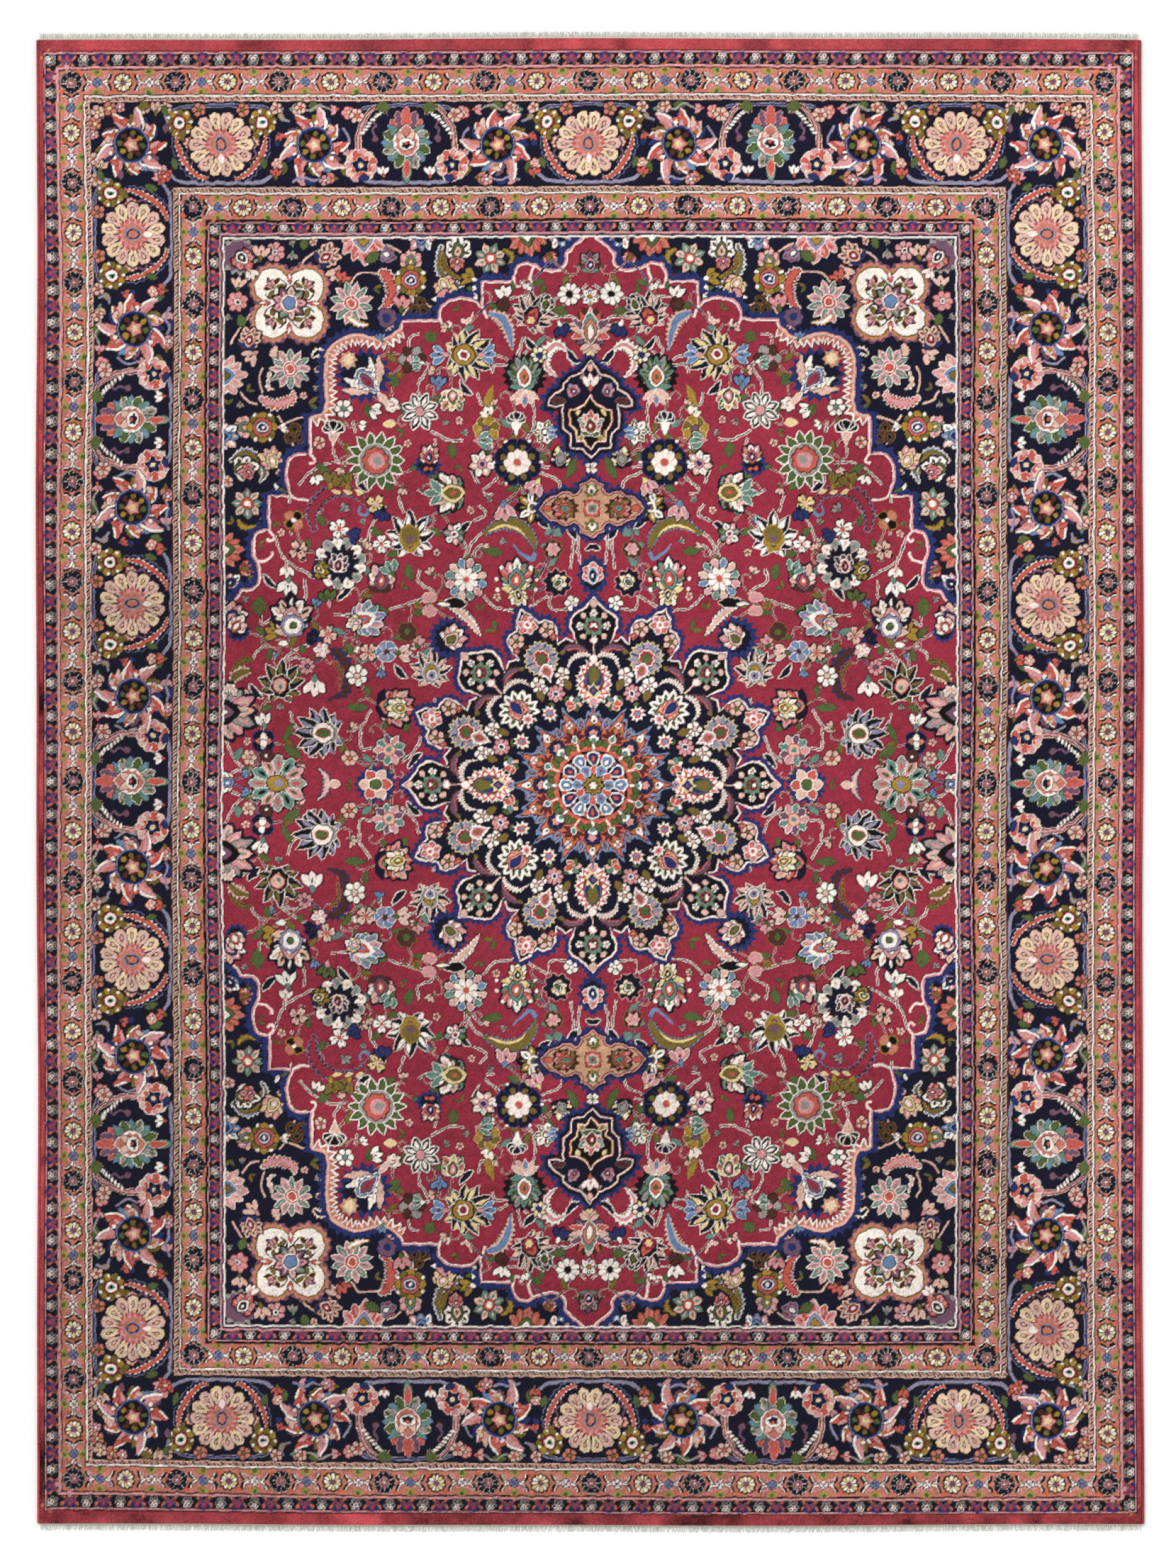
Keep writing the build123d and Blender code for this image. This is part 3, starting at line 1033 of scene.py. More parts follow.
def middle_rosette():
    """The blue and white rosette in the very middle."""
    disc(0j, 94, INK)
    ring(0j, 12, 40, 93, 19, [CREAM], INK, 0, 1.4, belly=0.7, blunt=0.6)
    ring(0j, 12, 46, 88, 14, [SKY, BLUE], belly=0.7, blunt=0.6)
    ring(0j, 12, 60, 80, 5, [CREAM, CORAL], INK, 0, 1.4, belly=0.6)
    ring(0j, 12, 68, 88, 4.5, [CORAL, MAUVE], None, 15)
    burst(0j, 58, INK, 12, 0.12)
    ring(0j, 6, 18, 56, 13, [SKY], CREAM, 0, 1.8, belly=0.7, blunt=0.6)
    ring(0j, 6, 20, 54, 8, [CORAL], CREAM, 30, 1.6, belly=0.7)
    ring(0j, 6, 32, 48, 4, [OLIVE, MAUVE], belly=0.6)
    layers(
        0j, 30, 0, 1.0,
        ((1, NAVY, 8, 0.2), (0.9, MUSTARD, 8, 0.3), (0.66, OLIVE, 8, 0.2), (0.36, CREAM, 6, 0.3)),
    )


def inner_star():
    """The orange star round the middle rosette, edged with lilac clouds and filled with flowers."""
    t = np.linspace(0, 2 * np.pi, 480, endpoint=False)
    point = 1 - np.abs(np.sin(8 * t)) ** 0.8
    ragged = 5.0 * np.sin(48 * t) + 3.0 * np.sin(80 * t + 1)
    edge = 158 + 46 * point + ragged
    for extra, colour in ((20, INK), (17, SKY), (12, LILAC), (8, MAUVE), (4.5, INK)):
        fill((edge + extra + 0.2 * extra * np.sin(64 * t)) * np.exp(1j * t), colour)
    fill(edge * np.exp(1j * t), ORANGE)
    burst(0j, 103, CORAL, 48, 0.05)
    for k in range(16):
        turn = 22.5 * k
        out = turned(turn)
        for s in (-1, 1):
            leaf(104 * turned(turn + 4 * s), 26, 8, turn + 40 * s, GREEN, INK, 1.4)
            stroke(polar(turn, (182, 11.2 * s), (166, 8.4 * s), (150, 9.6 * s)), 4.2, INK)
            stroke(polar(turn, (182, 11.2 * s), (166, 8.4 * s), (152, 9.6 * s)), 2.8, LILAC)
            leaf(150 * turned(turn + 5.6 * s), 17, 5, turn - 30 * s, OLIVE)
        if k % 2 == 0:
            leaf(out * 94, 18, 4, turn, CREAM, INK, 1.4)
            layers(
                out * 138, 25, turn, 1.0,
                ((1.06, INK, 9, 0.2), (0.94, BLUE, 9, 0.3), (0.66, INK, 8, 0.1), (0.54, PINK, 5, 0.3)),
            )
            leaf(out * 112, 22, 15, turn, CREAM, INK, 1.5, belly=0.6, teeth=3)
            leaf(out * 112, 15, 7, turn, TEAL)
            leaf(out * 164, 26, 9, turn, CREAM, BROWN, 1.8, belly=0.4)
            disc(out * 172, 4, GREEN)
        else:
            stroke(np.array([out * 98, out * 122]), 1.8, CREAM)
            for spread in (-70, -40, -14, 14, 40, 70):
                leaf(out * 130, 30, 4.6, turn + spread, BROWN, CRIMSON, 1.4, bend=0.3 * np.sign(spread))
            leaf(out * 120, 24, 10, turn, CREAM, INK, 1.4)
            leaf(out * 123, 18, 7, turn, TEAL)
            daisy(out * 172, 10, CREAM, BROWN, CORAL, 4)


def both_sides(right_half):
    """A closed outline from its right half, which starts and ends on the long axis."""
    return np.concatenate([right_half, -right_half.conj()[::-1][1:-1]])


def cartouche(at):
    """The tan cross-shaped cartouche next to the medallion."""
    tips = (138, 0, 124, 15, 112, 28, 92, 31, 76, 42, 60, 40, 48, 33, 35, 38, 27, 50, 30, 60, 13, 65, 0, 78)
    quarter = points(*tips)
    outline = at + both_sides(np.concatenate([quarter.conj()[::-1], quarter[1:]]))
    shadow(outline, 12, 25)
    nested(outline, (9, NAVY), (4, PINK), (0, BROWN), (-3, TAN))
    for turn in (0, 180):
        burst(at + 74 * turned(turn), 42, BROWN, 11, 0.24, 0.8, turn)
        palmette(at + 70 * turned(turn), 38, turn, [CORAL, PINK, OLIVE], BROWN, CORAL, TEAL, GREEN, OLIVE)
        leaf(at + 104 * turned(turn), 26, 8, turn, CORAL, BROWN, 1.5)
        burst(at + 46 * turned(turn + 90), 22, OLIVE, 7, 0.3, 1.0, turn)
        leaf(at + 34 * turned(turn + 90), 26, 12, turn + 90, CREAM, BROWN, 1.6, teeth=3)
        leaf(at + 34 * turned(turn + 90), 16, 5, turn + 90, GREEN)
    layers(
        at, 29, 45, 1.0,
        (
            (1, BROWN, 4, 0.2), (0.9, CORAL, 8, 0.2), (0.62, SAND, 8, 0.2), (0.5, TEAL, 4, 0.3),
            (0.24, CRIMSON, 4, 0.3),
        ),
    )


def pendant():
    """The dark pendant: a crown of palmettes over a house-shaped frame."""
    outline = both_sides(
        points(
            *(0, 862, 24, 888, 56, 892, 58, 928, 76, 944, 78, 992, 74, 1004, 92, 999, 114, 1002, 113, 1020),
            *(98, 1037, 75, 1050, 74, 1065, 53, 1082, 24, 1094, 0, 1128),
        )
    )
    shadow(outline, 14, 27)
    nested(outline, (10, NAVY), (0, PINK), (-2, CREAM), (-5, BROWN), (-8, NAVY))
    frame = both_sides(
        points(0, 886, 18, 905, 42, 907, 44, 938, 60, 952, 60, 996, 42, 1001, 20, 1012, 0, 1036)
    )
    nested(frame, (0, INK), (-2, CORAL), (-4, CREAM), (-7, MUSTARD), (-10, INK))
    palmette(948j, 44, 90, [TEAL, SAND, CORAL], CREAM, OLIVE, CRIMSON, CREAM, GREEN, 11)
    for s in (-1, 1):
        disc(26 * s + 918j, 7, MUSTARD, CREAM, 1.5)
        leaf(40 * s + 978j, 20, 6, 90 + 30 * s, GOLD, BROWN, 1.4)
        palmette(44 * s + 1040j, 25, 90 - 30 * s, [PINK, LILAC], MAUVE, CORAL, BLUE, CREAM, None, 7)
        leaf(66 * s + 1016j, 40, 10, 90 - 86 * s, BROWN, MAUVE, 2.2, teeth=3)
        daisy(20 * s + 1078j, 9, SAND, None, OLIVE, 4)
    bud(1050j, 38, 90, CREAM, PINK, CORAL)
    leaf(1094j, 20, 7, 90, SAND, CORAL, 1.5)


def axis_pendant():
    """What hangs on the long axis, from the medallion to the end of the field."""
    for s in (-1, 1):
        vine(36 * s, 690, 40 * s, 640, 34 * s, 590, 30 * s, 575)
        leaf(20 * s + 628j, 30, 7, 90 + 60 * s, NAVY, CREAM, 1.8, bend=0.3 * s)
    cloud(560j, 42, BLUE, 1.3, 9)
    palmette(556j, 40, 90, [CORAL, PINK], CREAM, SKY, NAVY, CREAM, None, 7)
    cartouche(735j)
    cross_flower(842j, 18, CREAM, OLIVE)
    pendant()
    # the tall palmette beyond the pendant
    burst(1206j, 66, BROWN, 15, 0.2, 0.72, 90)
    for k in range(11):
        lean = 26 * (k - 5)
        leaf(
            1196j, 68 - 4 * abs(k - 5), 11, 90 + lean, (MAUVE, CORAL, SAND)[k % 3], CREAM if k % 2 else INK,
            1.6, teeth=3,
        )
    leaf(1168j, 82, 24, 90, TEAL, CREAM, 2.0, teeth=4, depth=0.2)
    leaf(1174j, 60, 16, 90, SALMON, CRIMSON, 2.0)
    leaf(1180j, 40, 8, 90, CREAM, GREEN, 3.0)
    for spread in (-64, -38, -13, 13, 38, 64):
        leaf(1166j, 32, 7, 270 + spread, (SAND, GOLD)[abs(spread) % 2], BROWN, 1.5)
    star_flower(1292j, 22, [INK, CREAM], CREAM, MUSTARD, OLIVE)
    palmette(1376j, 38, 90, [GREY, MAUVE, BROWN], BROWN, PINK, BLUE, CREAM, TEAL, 9, 1.3)


# ---------------------------------------------------------------- spandrels and field


def spandrel_outline():
    """The edge of a spandrel towards the field, from the end of the carpet to its side."""
    return np.concatenate(
        [
            smooth(
                points(14, 1451, 38, 1432, 62, 1408, 64, 1385, 76, 1367, 100, 1361, 128, 1367, 152, 1378)
            ),
            smooth(points(165, 1383, 190, 1376, 203, 1352, 203, 1333)),
            points(288, 1333, 288, 1262),
            smooth(points(290, 1264, 308, 1282, 345, 1290, 380, 1282, 400, 1262, 402, 1232)),
            points(500, 1232),
            smooth(
                points(
                    500, 1226, 512, 1200, 540, 1184, 580, 1186, 620, 1196, 655, 1186, 682, 1172, 696, 1146
                ),
            ),
            points(702, 1140, 706, 1080, 700, 1020),
            smooth(points(700, 1016, 706, 992, 726, 978, 745, 976)),
            points(745, 878),
            smooth(points(760, 880, 790, 875, 806, 850, 810, 815, 803, 785, 796, 765)),
            points(857, 765, 857, 676),
            smooth(
                points(
                    866, 674, 888, 668, 898, 645, 899, 612, 890, 590, 884, 560, 887, 530, 904, 517, 930, 514
                ),
            ),
            smooth(points(936, 506, 950, 488, 984, 468)),
        ]
    )


def spandrel_edge():
    """The pale ribbon and blue shadow that edge a spandrel."""
    edge = spandrel_outline()
    fill(np.concatenate([edge, saw_edge(edge, 15, 27)[::-1]]), BLUE)
    ribbon(edge, -2.4, 4.4, PINK)
    ribbon(edge, -3.4, -0.2, CREAM)
    for route in (
        points(203, 1345, 200, 1325, 188, 1319, 180, 1328, 186, 1336),
        points(150, 1378, 158, 1355, 160, 1335, 148, 1324),
        points(402, 1240, 396, 1222, 384, 1214, 374, 1222, 380, 1232),
        points(290, 1270, 280, 1250, 276, 1236),
        points(745, 878, 736, 868, 736, 856, 748, 853),
        points(797, 768, 775, 756, 752, 757),
        points(857, 674, 845, 656, 853, 646, 862, 652),
        points(888, 592, 866, 594, 852, 606, 850, 618),
    ):
        stroke(route, 4.6, PINK)
        stroke(route, 2.4, CREAM)
    # the toothed stretch in the corner
    corner = smooth(
        points(
            *(505, 1212, 540, 1186, 580, 1186, 620, 1197, 655, 1187, 684, 1170),
            *(700, 1140, 704, 1080, 700, 1020, 712, 985, 745, 977),
        ),
    )
    inner = corner + side(corner) * 5
    for low, high, colour in ((-16, -34, BROWN), (-13, -30, CREAM), (-4, -22, SALMON)):
        fill(np.concatenate([inner, saw_edge(corner, low, high, 8.0)[::-1]]), colour)
    stroke(corner, 3.4, SAND)


def corner_cartouche():
    """The pale quatrefoil in the middle of a spandrel."""
    centre = 801 + 1281j
    lobes = [(45, 45), (-45, 45), (-45, -45), (45, -45)]
    for radius, colour, teeth in (
        (63, MAUVE, 15), (58, SALMON, 19), (51, MUSTARD, 0), (48, BROWN, 0), (46, CREAM, 0)
    ):
        for x, y in lobes:
            disc(centre + complex(x, y), radius, colour, teeth=teeth, depth=0.09)
        disc(centre, radius + 12, colour)
    for k in range(4):
        turn = 45 + 90 * k
        spot = centre + 58 * turned(turn)
        for spread, colour in ((120, OLIVE), (60, BROWN), (0, MAUVE), (-60, BROWN), (-120, OLIVE)):
            leaf(
                spot + 6 * turned(turn + spread), 24, 6, turn + spread, colour,
                BROWN if colour != BROWN else GOLD, 1.3, bend=0.3,
            )
        bud(spot, 22, turn, PINK, BROWN, MUSTARD)
        for spread in (-24, 24):
            stroke(
                np.array(
                    [
                        centre + 34 * turned(turn + spread), centre + 52 * turned(turn + 1.4 * spread),
                        centre + 70 * turned(turn + spread),
                    ],
                ),
                2, BROWN,
            )
        leaf(centre + 50 * turned(90 * k), 32, 8, 90 * k, CORAL, BROWN, 1.6, teeth=3)
        leaf(centre + 62 * turned(90 * k), 18, 3, 90 * k, CREAM)
    star_flower(centre, 46, [PINK, MAUVE, SAND, TEAL], BROWN, SKY, CREAM, 9, 20)
    disc(centre, 22, CREAM, PINK, 3)
    disc(centre, 16, SKY, INK, teeth=5)


def spandrel_flowers():
    """The flowers of a corner spandrel."""
    vine(14, 1448, 60, 1410, half=1, core=PINK, line=CREAM, edge=2)
    for route in (
        (560, 1440, 520, 1425, 495, 1402),
        (780, 1362, 762, 1395, 735, 1415, 690, 1443),
        (885, 1262, 905, 1250, 935, 1210, 958, 1172),
        (465, 1300, 440, 1275, 400, 1262),
        (470, 1300, 490, 1262, 505, 1240),
        (250, 1370, 254, 1350, 252, 1334),
        (830, 980, 810, 950, 790, 900),
        (640, 1332, 620, 1356, 590, 1360, 560, 1358),
        (745, 980, 775, 975, 812, 960),
        (870, 1110, 880, 1080, 872, 1040),
        (850, 690, 862, 700, 880, 705),
        (930, 1045, 912, 1020, 885, 1010),
    ):
        vine(*route, half=0.6, core=SAND, line=SAND, edge=2.0)
    corner_cartouche()
    # the corner itself
    disc(937 + 1405j, 47, GREY, teeth=15, depth=0.16)
    disc(937 + 1405j, 40, MAUVE, teeth=11)
    palmette(930 + 1402j, 42, 230, [PINK, CORAL], INK, CREAM, NAVY, CREAM, None, 7)
    bud(912 + 1370j, 30, 240, CREAM, PINK, PINK)
    daisy(840 + 1416j, 27, PINK, None, BLUE, 7)
    disc(840 + 1416j, 8, CREAM)
    disc(840 + 1416j, 4.5, NAVY)
    bud(880 + 1398j, 39, 100, SAND, None, OLIVE)
    daisy(940 + 1284j, 27, PINK, CORAL, BLUE, 7)
    disc(940 + 1284j, 8, CREAM)
    disc(940 + 1284j, 4.5, NAVY)
    bud(938 + 1318j, 34, 95, SAND)
    palmette(705 + 1402j, 46, 145, [SAND], BROWN, SAND, CRIMSON, CREAM, BLUE)
    bud(672 + 1372j, 39, -60, SAND, None, PINK)
    palmette(908 + 1180j, 43, 110, [SAND], BROWN, SAND, CRIMSON, CREAM, BLUE)
    bud(890 + 1150j, 39, -40, SAND, None, PINK)
    palmette(606 + 1458j, 80, 265, [CORAL, PINK], CREAM, LILAC, MUSTARD, OLIVE, None, 11)
    palmette(982 + 1086j, 71, 175, [SAND, PINK], CREAM, SKY, OLIVE, OLIVE, None, 11)
    bud(668 + 1334j, 34, 120, CORAL, None, BROWN)
    leaf(600 + 1390j, 44, 16, 150, GREEN, INK, 2, teeth=5)
    leaf(765 + 1420j, 34, 13, 100, GREEN, INK, 2, teeth=4)
    leaf(935 + 1250j, 34, 14, -110, GREEN, INK, 2, teeth=4)
    leaf(843 + 1130j, 40, 15, 100, SAND, BROWN, 2, teeth=4)
    star_flower(636 + 1280j, 57, [TEAL, PINK], CREAM, CREAM, CORAL, 12, 15)
    star_flower(798 + 1106j, 54, [PINK, TEAL], CREAM, CREAM, CORAL, 12)
    for spot in (636 + 1280j, 798 + 1106j):
        disc(spot, 11, CORAL, CREAM, 3)
    feather(points(562, 1365, 540, 1350, 528, 1315, 538, 1280, 560, 1262), 20, CRIMSON, CREAM, CORAL, 12)
    feather(points(880, 1030, 850, 1012, 815, 1014, 790, 1030, 792, 1046), 16, CORAL, CREAM, PINK, 12)
    feather(points(645, 1245, 620, 1226, 590, 1224), 9, SAND, MUSTARD, CREAM, 6)
    feather(points(740, 1140, 722, 1152, 700, 1148), 12, CREAM, SAND, INK, 6)
    feather(points(850, 1100, 858, 1060, 840, 1050), 8, CREAM, None, SAND, 5)
    composite_flower(478 + 1352j, 90)
    composite_flower(884 + 950j, 0)
    palmette(450 + 1460j, 50, 270, [CREAM, SKY, PINK], INK, SKY, BLUE)
    palmette(982 + 925j, 52, 180, [CREAM, SKY, SAND], INK, SKY, BLUE)
    # the long curled leaves round a pale palmette
    feather(points(396, 1432, 405, 1385, 388, 1346, 352, 1326, 316, 1340), 13, SKY, CREAM, OLIVE, 16)
    feather(points(388, 1420, 392, 1385, 374, 1356, 346, 1344), 8, BROWN, MUSTARD, OLIVE, 9)
    palmette(352 + 1412j, 50, 90, [CREAM], INK, GREEN, SAND, OLIVE, None, 7)
    palmette(355 + 1388j, 27, 270, [CORAL, PINK], BROWN, PINK, CRIMSON, CREAM, None, 7)
    feather(points(958, 858, 920, 884, 885, 866, 866, 830, 880, 800), 13, SKY, CREAM, OLIVE, 16)
    feather(points(940, 862, 910, 870, 890, 850, 878, 826), 8, BROWN, MUSTARD, OLIVE, 9)
    palmette(930 + 838j, 48, 170, [CREAM], INK, GREEN, SAND, OLIVE, None, 7)
    palmette(908 + 830j, 30, 0, [CORAL, PINK], BROWN, PINK, CRIMSON, CREAM, None, 7)
    palmette(392 + 1330j, 43, 240, [GOLD, SAND, PINK], BROWN, GOLD, SAND)
    palmette(845 + 858j, 46, 60, [GOLD, SAND, PINK], BROWN, GOLD, SAND)
    bud(308 + 1340j, 39, 20, MUSTARD, INK, CREAM)
    bud(322 + 1316j, 34, 200, CREAM)
    bud(838 + 792j, 39, 250, GREEN, INK, CREAM)
    star_flower(266 + 1395j, 43, [TEAL, SAND], BROWN, CREAM, CORAL, 8, 22)
    star_flower(914 + 745j, 43, [TEAL, SAND], BROWN, CREAM, CORAL)
    feather(points(232, 1420, 214, 1412, 208, 1392, 220, 1374), 11, OLIVE, INK, MUSTARD, 6)
    feather(points(940, 702, 932, 686, 912, 680, 890, 690), 11, OLIVE, INK, MUSTARD, 6)
    leaf(230 + 1355j, 34, 13, 250, BROWN, teeth=4)
    for spot in (455 + 1266j, 786 + 930j):
        for direction in (90, 210, 330):
            berry = spot + 15 * turned(direction)
            disc(berry, 15, BROWN, OLIVE, 1.8)
            disc(berry, 6, INK, OLIVE, 1.2)
    bud(505 + 1262j, 39, 100, PINK, CORAL)
    bud(412 + 1290j, 39, 175, PINK, CORAL, CREAM)
    palmette(545 + 1408j, 30, 200, [CRIMSON, MAUVE], LILAC, MAUVE, CREAM, CREAM, None, 7)
    disc(542 + 1240j, 24, MAUVE, BLUE, 3, teeth=8)
    disc(542 + 1240j, 11, BLUE)
    bud(516 + 1220j, 30, -60, SAND, None, CREAM)
    palmette(168 + 1462j, 68, 262, [CORAL, SALMON], BROWN, GREEN, CREAM, GOLD, None, 11)
    palmette(78 + 1464j, 50, 262, [PINK, SKY, CREAM], INK, NAVY, BLUE)
    palmette(108 + 1398j, 27, 240, [SAND, CORAL], BROWN, CORAL, OLIVE, OLIVE, None, 7)
    palmette(984 + 620j, 64, 178, [CORAL, SALMON], BROWN, GREEN, CREAM, GOLD, None, 11)
    palmette(922 + 572j, 32, 200, [SAND, CORAL], BROWN, CORAL, OLIVE, OLIVE, None, 7)
    leaf(905 + 560j, 34, 12, 265, OLIVE, INK, 2, teeth=5)
    palmette(962 + 532j, 34, 140, [CREAM, SKY, PINK], INK, BLUE, NAVY, CREAM, None, 7)


def composite_flower(at, turn):
    """A pink palmette over a mustard flower with a many-coloured eye."""
    forward = turned(turn)
    palmette(at + forward * 32, 42, turn, [PINK, SAND], BROWN, TEAL, MUSTARD, CREAM, None, 7)
    ring(at - forward * 12, 8, 12, 42, 13, [MUSTARD, OLIVE], INK, turn, 2.0, belly=0.62, blunt=0.6)
    disc(at - forward * 12, 25, CORAL, INK, 2)
    disc(at - forward * 12, 19, MAUVE)
    disc(at - forward * 12, 13, BLUE, CREAM, squash=0.8)
    disc(at - forward * 12, 5, CREAM)
    for spread in (60, 120, -60, -120):
        disc(at - forward * 12 + 38 * turned(turn + spread), 5, CREAM)
    bud(at - forward * 56, 22, turn + 180, CREAM, None, SAND)


def field_stems():
    """The stems that tie the field's flowers together."""
    for route in (
        (800, 192, 790, 160, 772, 142, 744, 136),
        (640, 137, 612, 158, 585, 200),
        (612, 152, 612, 98, 582, 97),
        (825, 325, 790, 355, 740, 377),
        (815, 325, 790, 335, 760, 330),
        (968, 112, 945, 65, 920, 40),
        (890, 22, 925, 34, 960, 22),
        (420, 232, 426, 200),
        (500, 355, 480, 345, 468, 340),
        (560, 335, 558, 290),
        (505, 60, 470, 95, 458, 130),
        (462, 575, 464, 540, 425, 510, 540, 468),
        (540, 468, 480, 488, 470, 492),
        (395, 482, 350, 470, 318, 440),
        (292, 505, 262, 475, 210, 465),
        (178, 472, 120, 505),
        (118, 505, 112, 470, 70, 470),
        (340, 605, 336, 640, 350, 665),
        (330, 605, 322, 645, 292, 672),
        (318, 610, 306, 632, 292, 640),
        (50, 690, 52, 640, 60, 575),
        (290, 782, 258, 810, 235, 832),
        (285, 775, 262, 772),
        (300, 745, 285, 720, 318, 700),
        (318, 838, 310, 818, 302, 800),
        (135, 845, 110, 842),
        (140, 832, 92, 810, 82, 788),
        (200, 935, 202, 915),
        (150, 985, 155, 940, 172, 915),
        (72, 905, 60, 920, 72, 940),
        (428, 940, 400, 925, 375, 915, 340, 916),
        (418, 920, 412, 898),
        (540, 810, 515, 798),
        (465, 785, 442, 772),
        (515, 770, 500, 725),
        (430, 1110, 458, 1062, 455, 1030),
        (404, 1100, 404, 1050),
        (430, 1115, 445, 1122),
        (272, 1142, 228, 1130, 205, 1105),
        (262, 1090, 252, 1112, 212, 1110),
        (178, 1185, 190, 1150, 194, 1120),
        (190, 1130, 165, 1150),
        (100, 1285, 82, 1295),
        (104, 1236, 62, 1240, 40, 1232),
        (25, 1312, 8, 1325),
        (162, 1262, 170, 1292, 218, 1290),
        (485, 1165, 480, 1190, 455, 1195),
        (300, 1040, 292, 1008, 268, 1008),
        (40, 1130, 50, 1118, 30, 1106, 10, 1125),
        (655, 855, 700, 855, 745, 830, 778, 795),
        (672, 860, 684, 880, 684, 895),
        (800, 770, 800, 745),
        (800, 672, 798, 660),
        (842, 660, 820, 600, 760, 560, 735, 548),
        (818, 605, 812, 575),
        (765, 545, 762, 510, 768, 490),
        (590, 735, 570, 715),
        (600, 625, 588, 680, 570, 712),
        (660, 668, 620, 660, 612, 640),
        (633, 965, 625, 935),
        (640, 450, 690, 452),
        (880, 450, 878, 425, 850, 440),
        (900, 330, 892, 350, 862, 372),
        (955, 240, 925, 245, 905, 235),
        (162, 1068, 152, 1000, 150, 985),
    ):
        vine(*route)


# The flowers of the field that the stems run between
FIELD_MARKS = points(
    *(960, 0, 828, 0, 572, 0, 868, 112, 826, 258, 708, 136, 757, 312, 598, 352, 626, 290, 640, 70),
    *(536, 208, 432, 300, 548, 355, 384, 392, 494, 408, 528, 92, 484, 652, 572, 862, 434, 850, 378, 770),
    *(290, 852, 196, 856, 82, 862, 278, 942, 454, 992, 198, 962, 122, 936, 158, 738, 236, 748, 338, 548),
    *(204, 545, 95, 540, 434, 482, 106, 628, 366, 668, 338, 1140, 368, 1032, 474, 1130, 532, 1012),
    *(146, 1235, 168, 1078, 56, 1300, 232, 1272, 136, 1138, 604, 1108, 684, 938, 792, 702, 670, 588),
    *(672, 680, 800, 432, 946, 415, 702, 398, 628, 434, 562, 540, 100, 1390, 300, 1250, 655, 1010),
)


def tie_flowers(marks):
    """Curved stems from each flower to the ones nearest it, with a leaf half way along."""
    nearest, furthest = 2, 210.0
    tied = set()
    for k, here in enumerate(marks):
        distance = np.abs(marks - here)
        for n in np.argsort(distance)[1 : nearest + 1]:
            pair = (min(k, n), max(k, n))
            if pair in tied or distance[n] > furthest:
                continue
            tied.add(pair)
            there = marks[n]
            bend = 0.2j * (there - here) * (1 if (k + n) % 2 else -1)
            middle = (here + there) / 2 + bend
            route = np.array(
                [
                    here, here * 0.72 + there * 0.28 + bend * 0.8, middle,
                    here * 0.28 + there * 0.72 + bend * 0.5, there,
                ],
            )
            stroke(route, 2.9, SAND if k % 3 else LILAC)
            stroke(route, 1.5, NAVY)
            turn = math.degrees(np.angle(bend))
            curl = np.array(
                [
                    middle, middle + 22 * turned(turn + 30), middle + 34 * turned(turn),
                    middle + 26 * turned(turn - 24),
                ],
            )
            stroke(curl, 2.7, SAND, 0.3)
            stroke(curl, 1.3, NAVY, 0.3)
            leaf(
                middle, 34, 10, turn + 130, (GREEN, OLIVE, GREEN, TEAL)[k % 4], BROWN, 1.4, teeth=3,
                bend=0.2,
            )
            if k % 2:
                bud(
                    middle + 38 * turned(turn - 10), 22, turn, (CREAM, SKY, SAND)[k % 3], None,
                    (CORAL, TEAL, GREEN)[k % 3],
                )


def fill_gaps(ground, radius, low_x, high_x, low_y, high_y, kinds, spacing=1.6):
    """Small sprigs wherever a disc of bare ground is left, as a weaver fills an empty corner."""
    step = radius * spacing
    count = 0
    span = int(radius / FINE)
    for row, y in enumerate(np.arange(low_y, high_y, step * 0.87)):
        for x in np.arange(low_x + (row % 2) * step / 2, high_x, step):
            spot = complex(x, y) + rng.uniform(-0.2, 0.2) * step + 1j * rng.uniform(-0.2, 0.2) * step
            column, line = int(spot.real / FINE), int(spot.imag / FINE)
            patch = CARTOON[max(line - span, 0) : line + span, max(column - span, 0) : column + span]
            if patch.size == 0 or np.any(patch != ground):
                continue
            kinds[count % len(kinds)](spot, radius, 137.5 * count)
            count += 1


def sprig_leaf(spot, size, turn):
    """Two green leaves on a short stem."""
    for lean in (0, 75):
        leaf(
            spot - turned(turn) * size * 0.5, size * 1.5, size * 0.34, turn + lean,
            GREEN if lean else OLIVE, BROWN, 1.2, teeth=3,
        )


def sprig_bud(spot, size, turn):
    """A pale bud."""
    bud(spot - turned(turn) * size * 0.4, size * 1.15, turn, GREY, BROWN, TEAL)


def sprig_flower(spot, size, turn):
    """A small five-petalled flower."""
    daisy(spot, size * 0.78, SAND, BROWN, CORAL, 5, turn)


def sprig_star(spot, size, turn):
    """A small pink and blue star."""
    star_flower(spot, size * 0.95, [PINK, SKY], CREAM, BROWN, GOLD, 6, turn)


def sprig_curl(spot, size, turn):
    """A small curled leaf with a pale edge."""
    feather(
        spot + size * 0.8 * np.array(
            [turned(turn + a) * r
            for a, r in ((0, 1), (60, 0.9), (130, 0.9), (200, 1))]
        ),
        size * 0.3, NAVY, CREAM, SAND, 5, 1.3,
    )


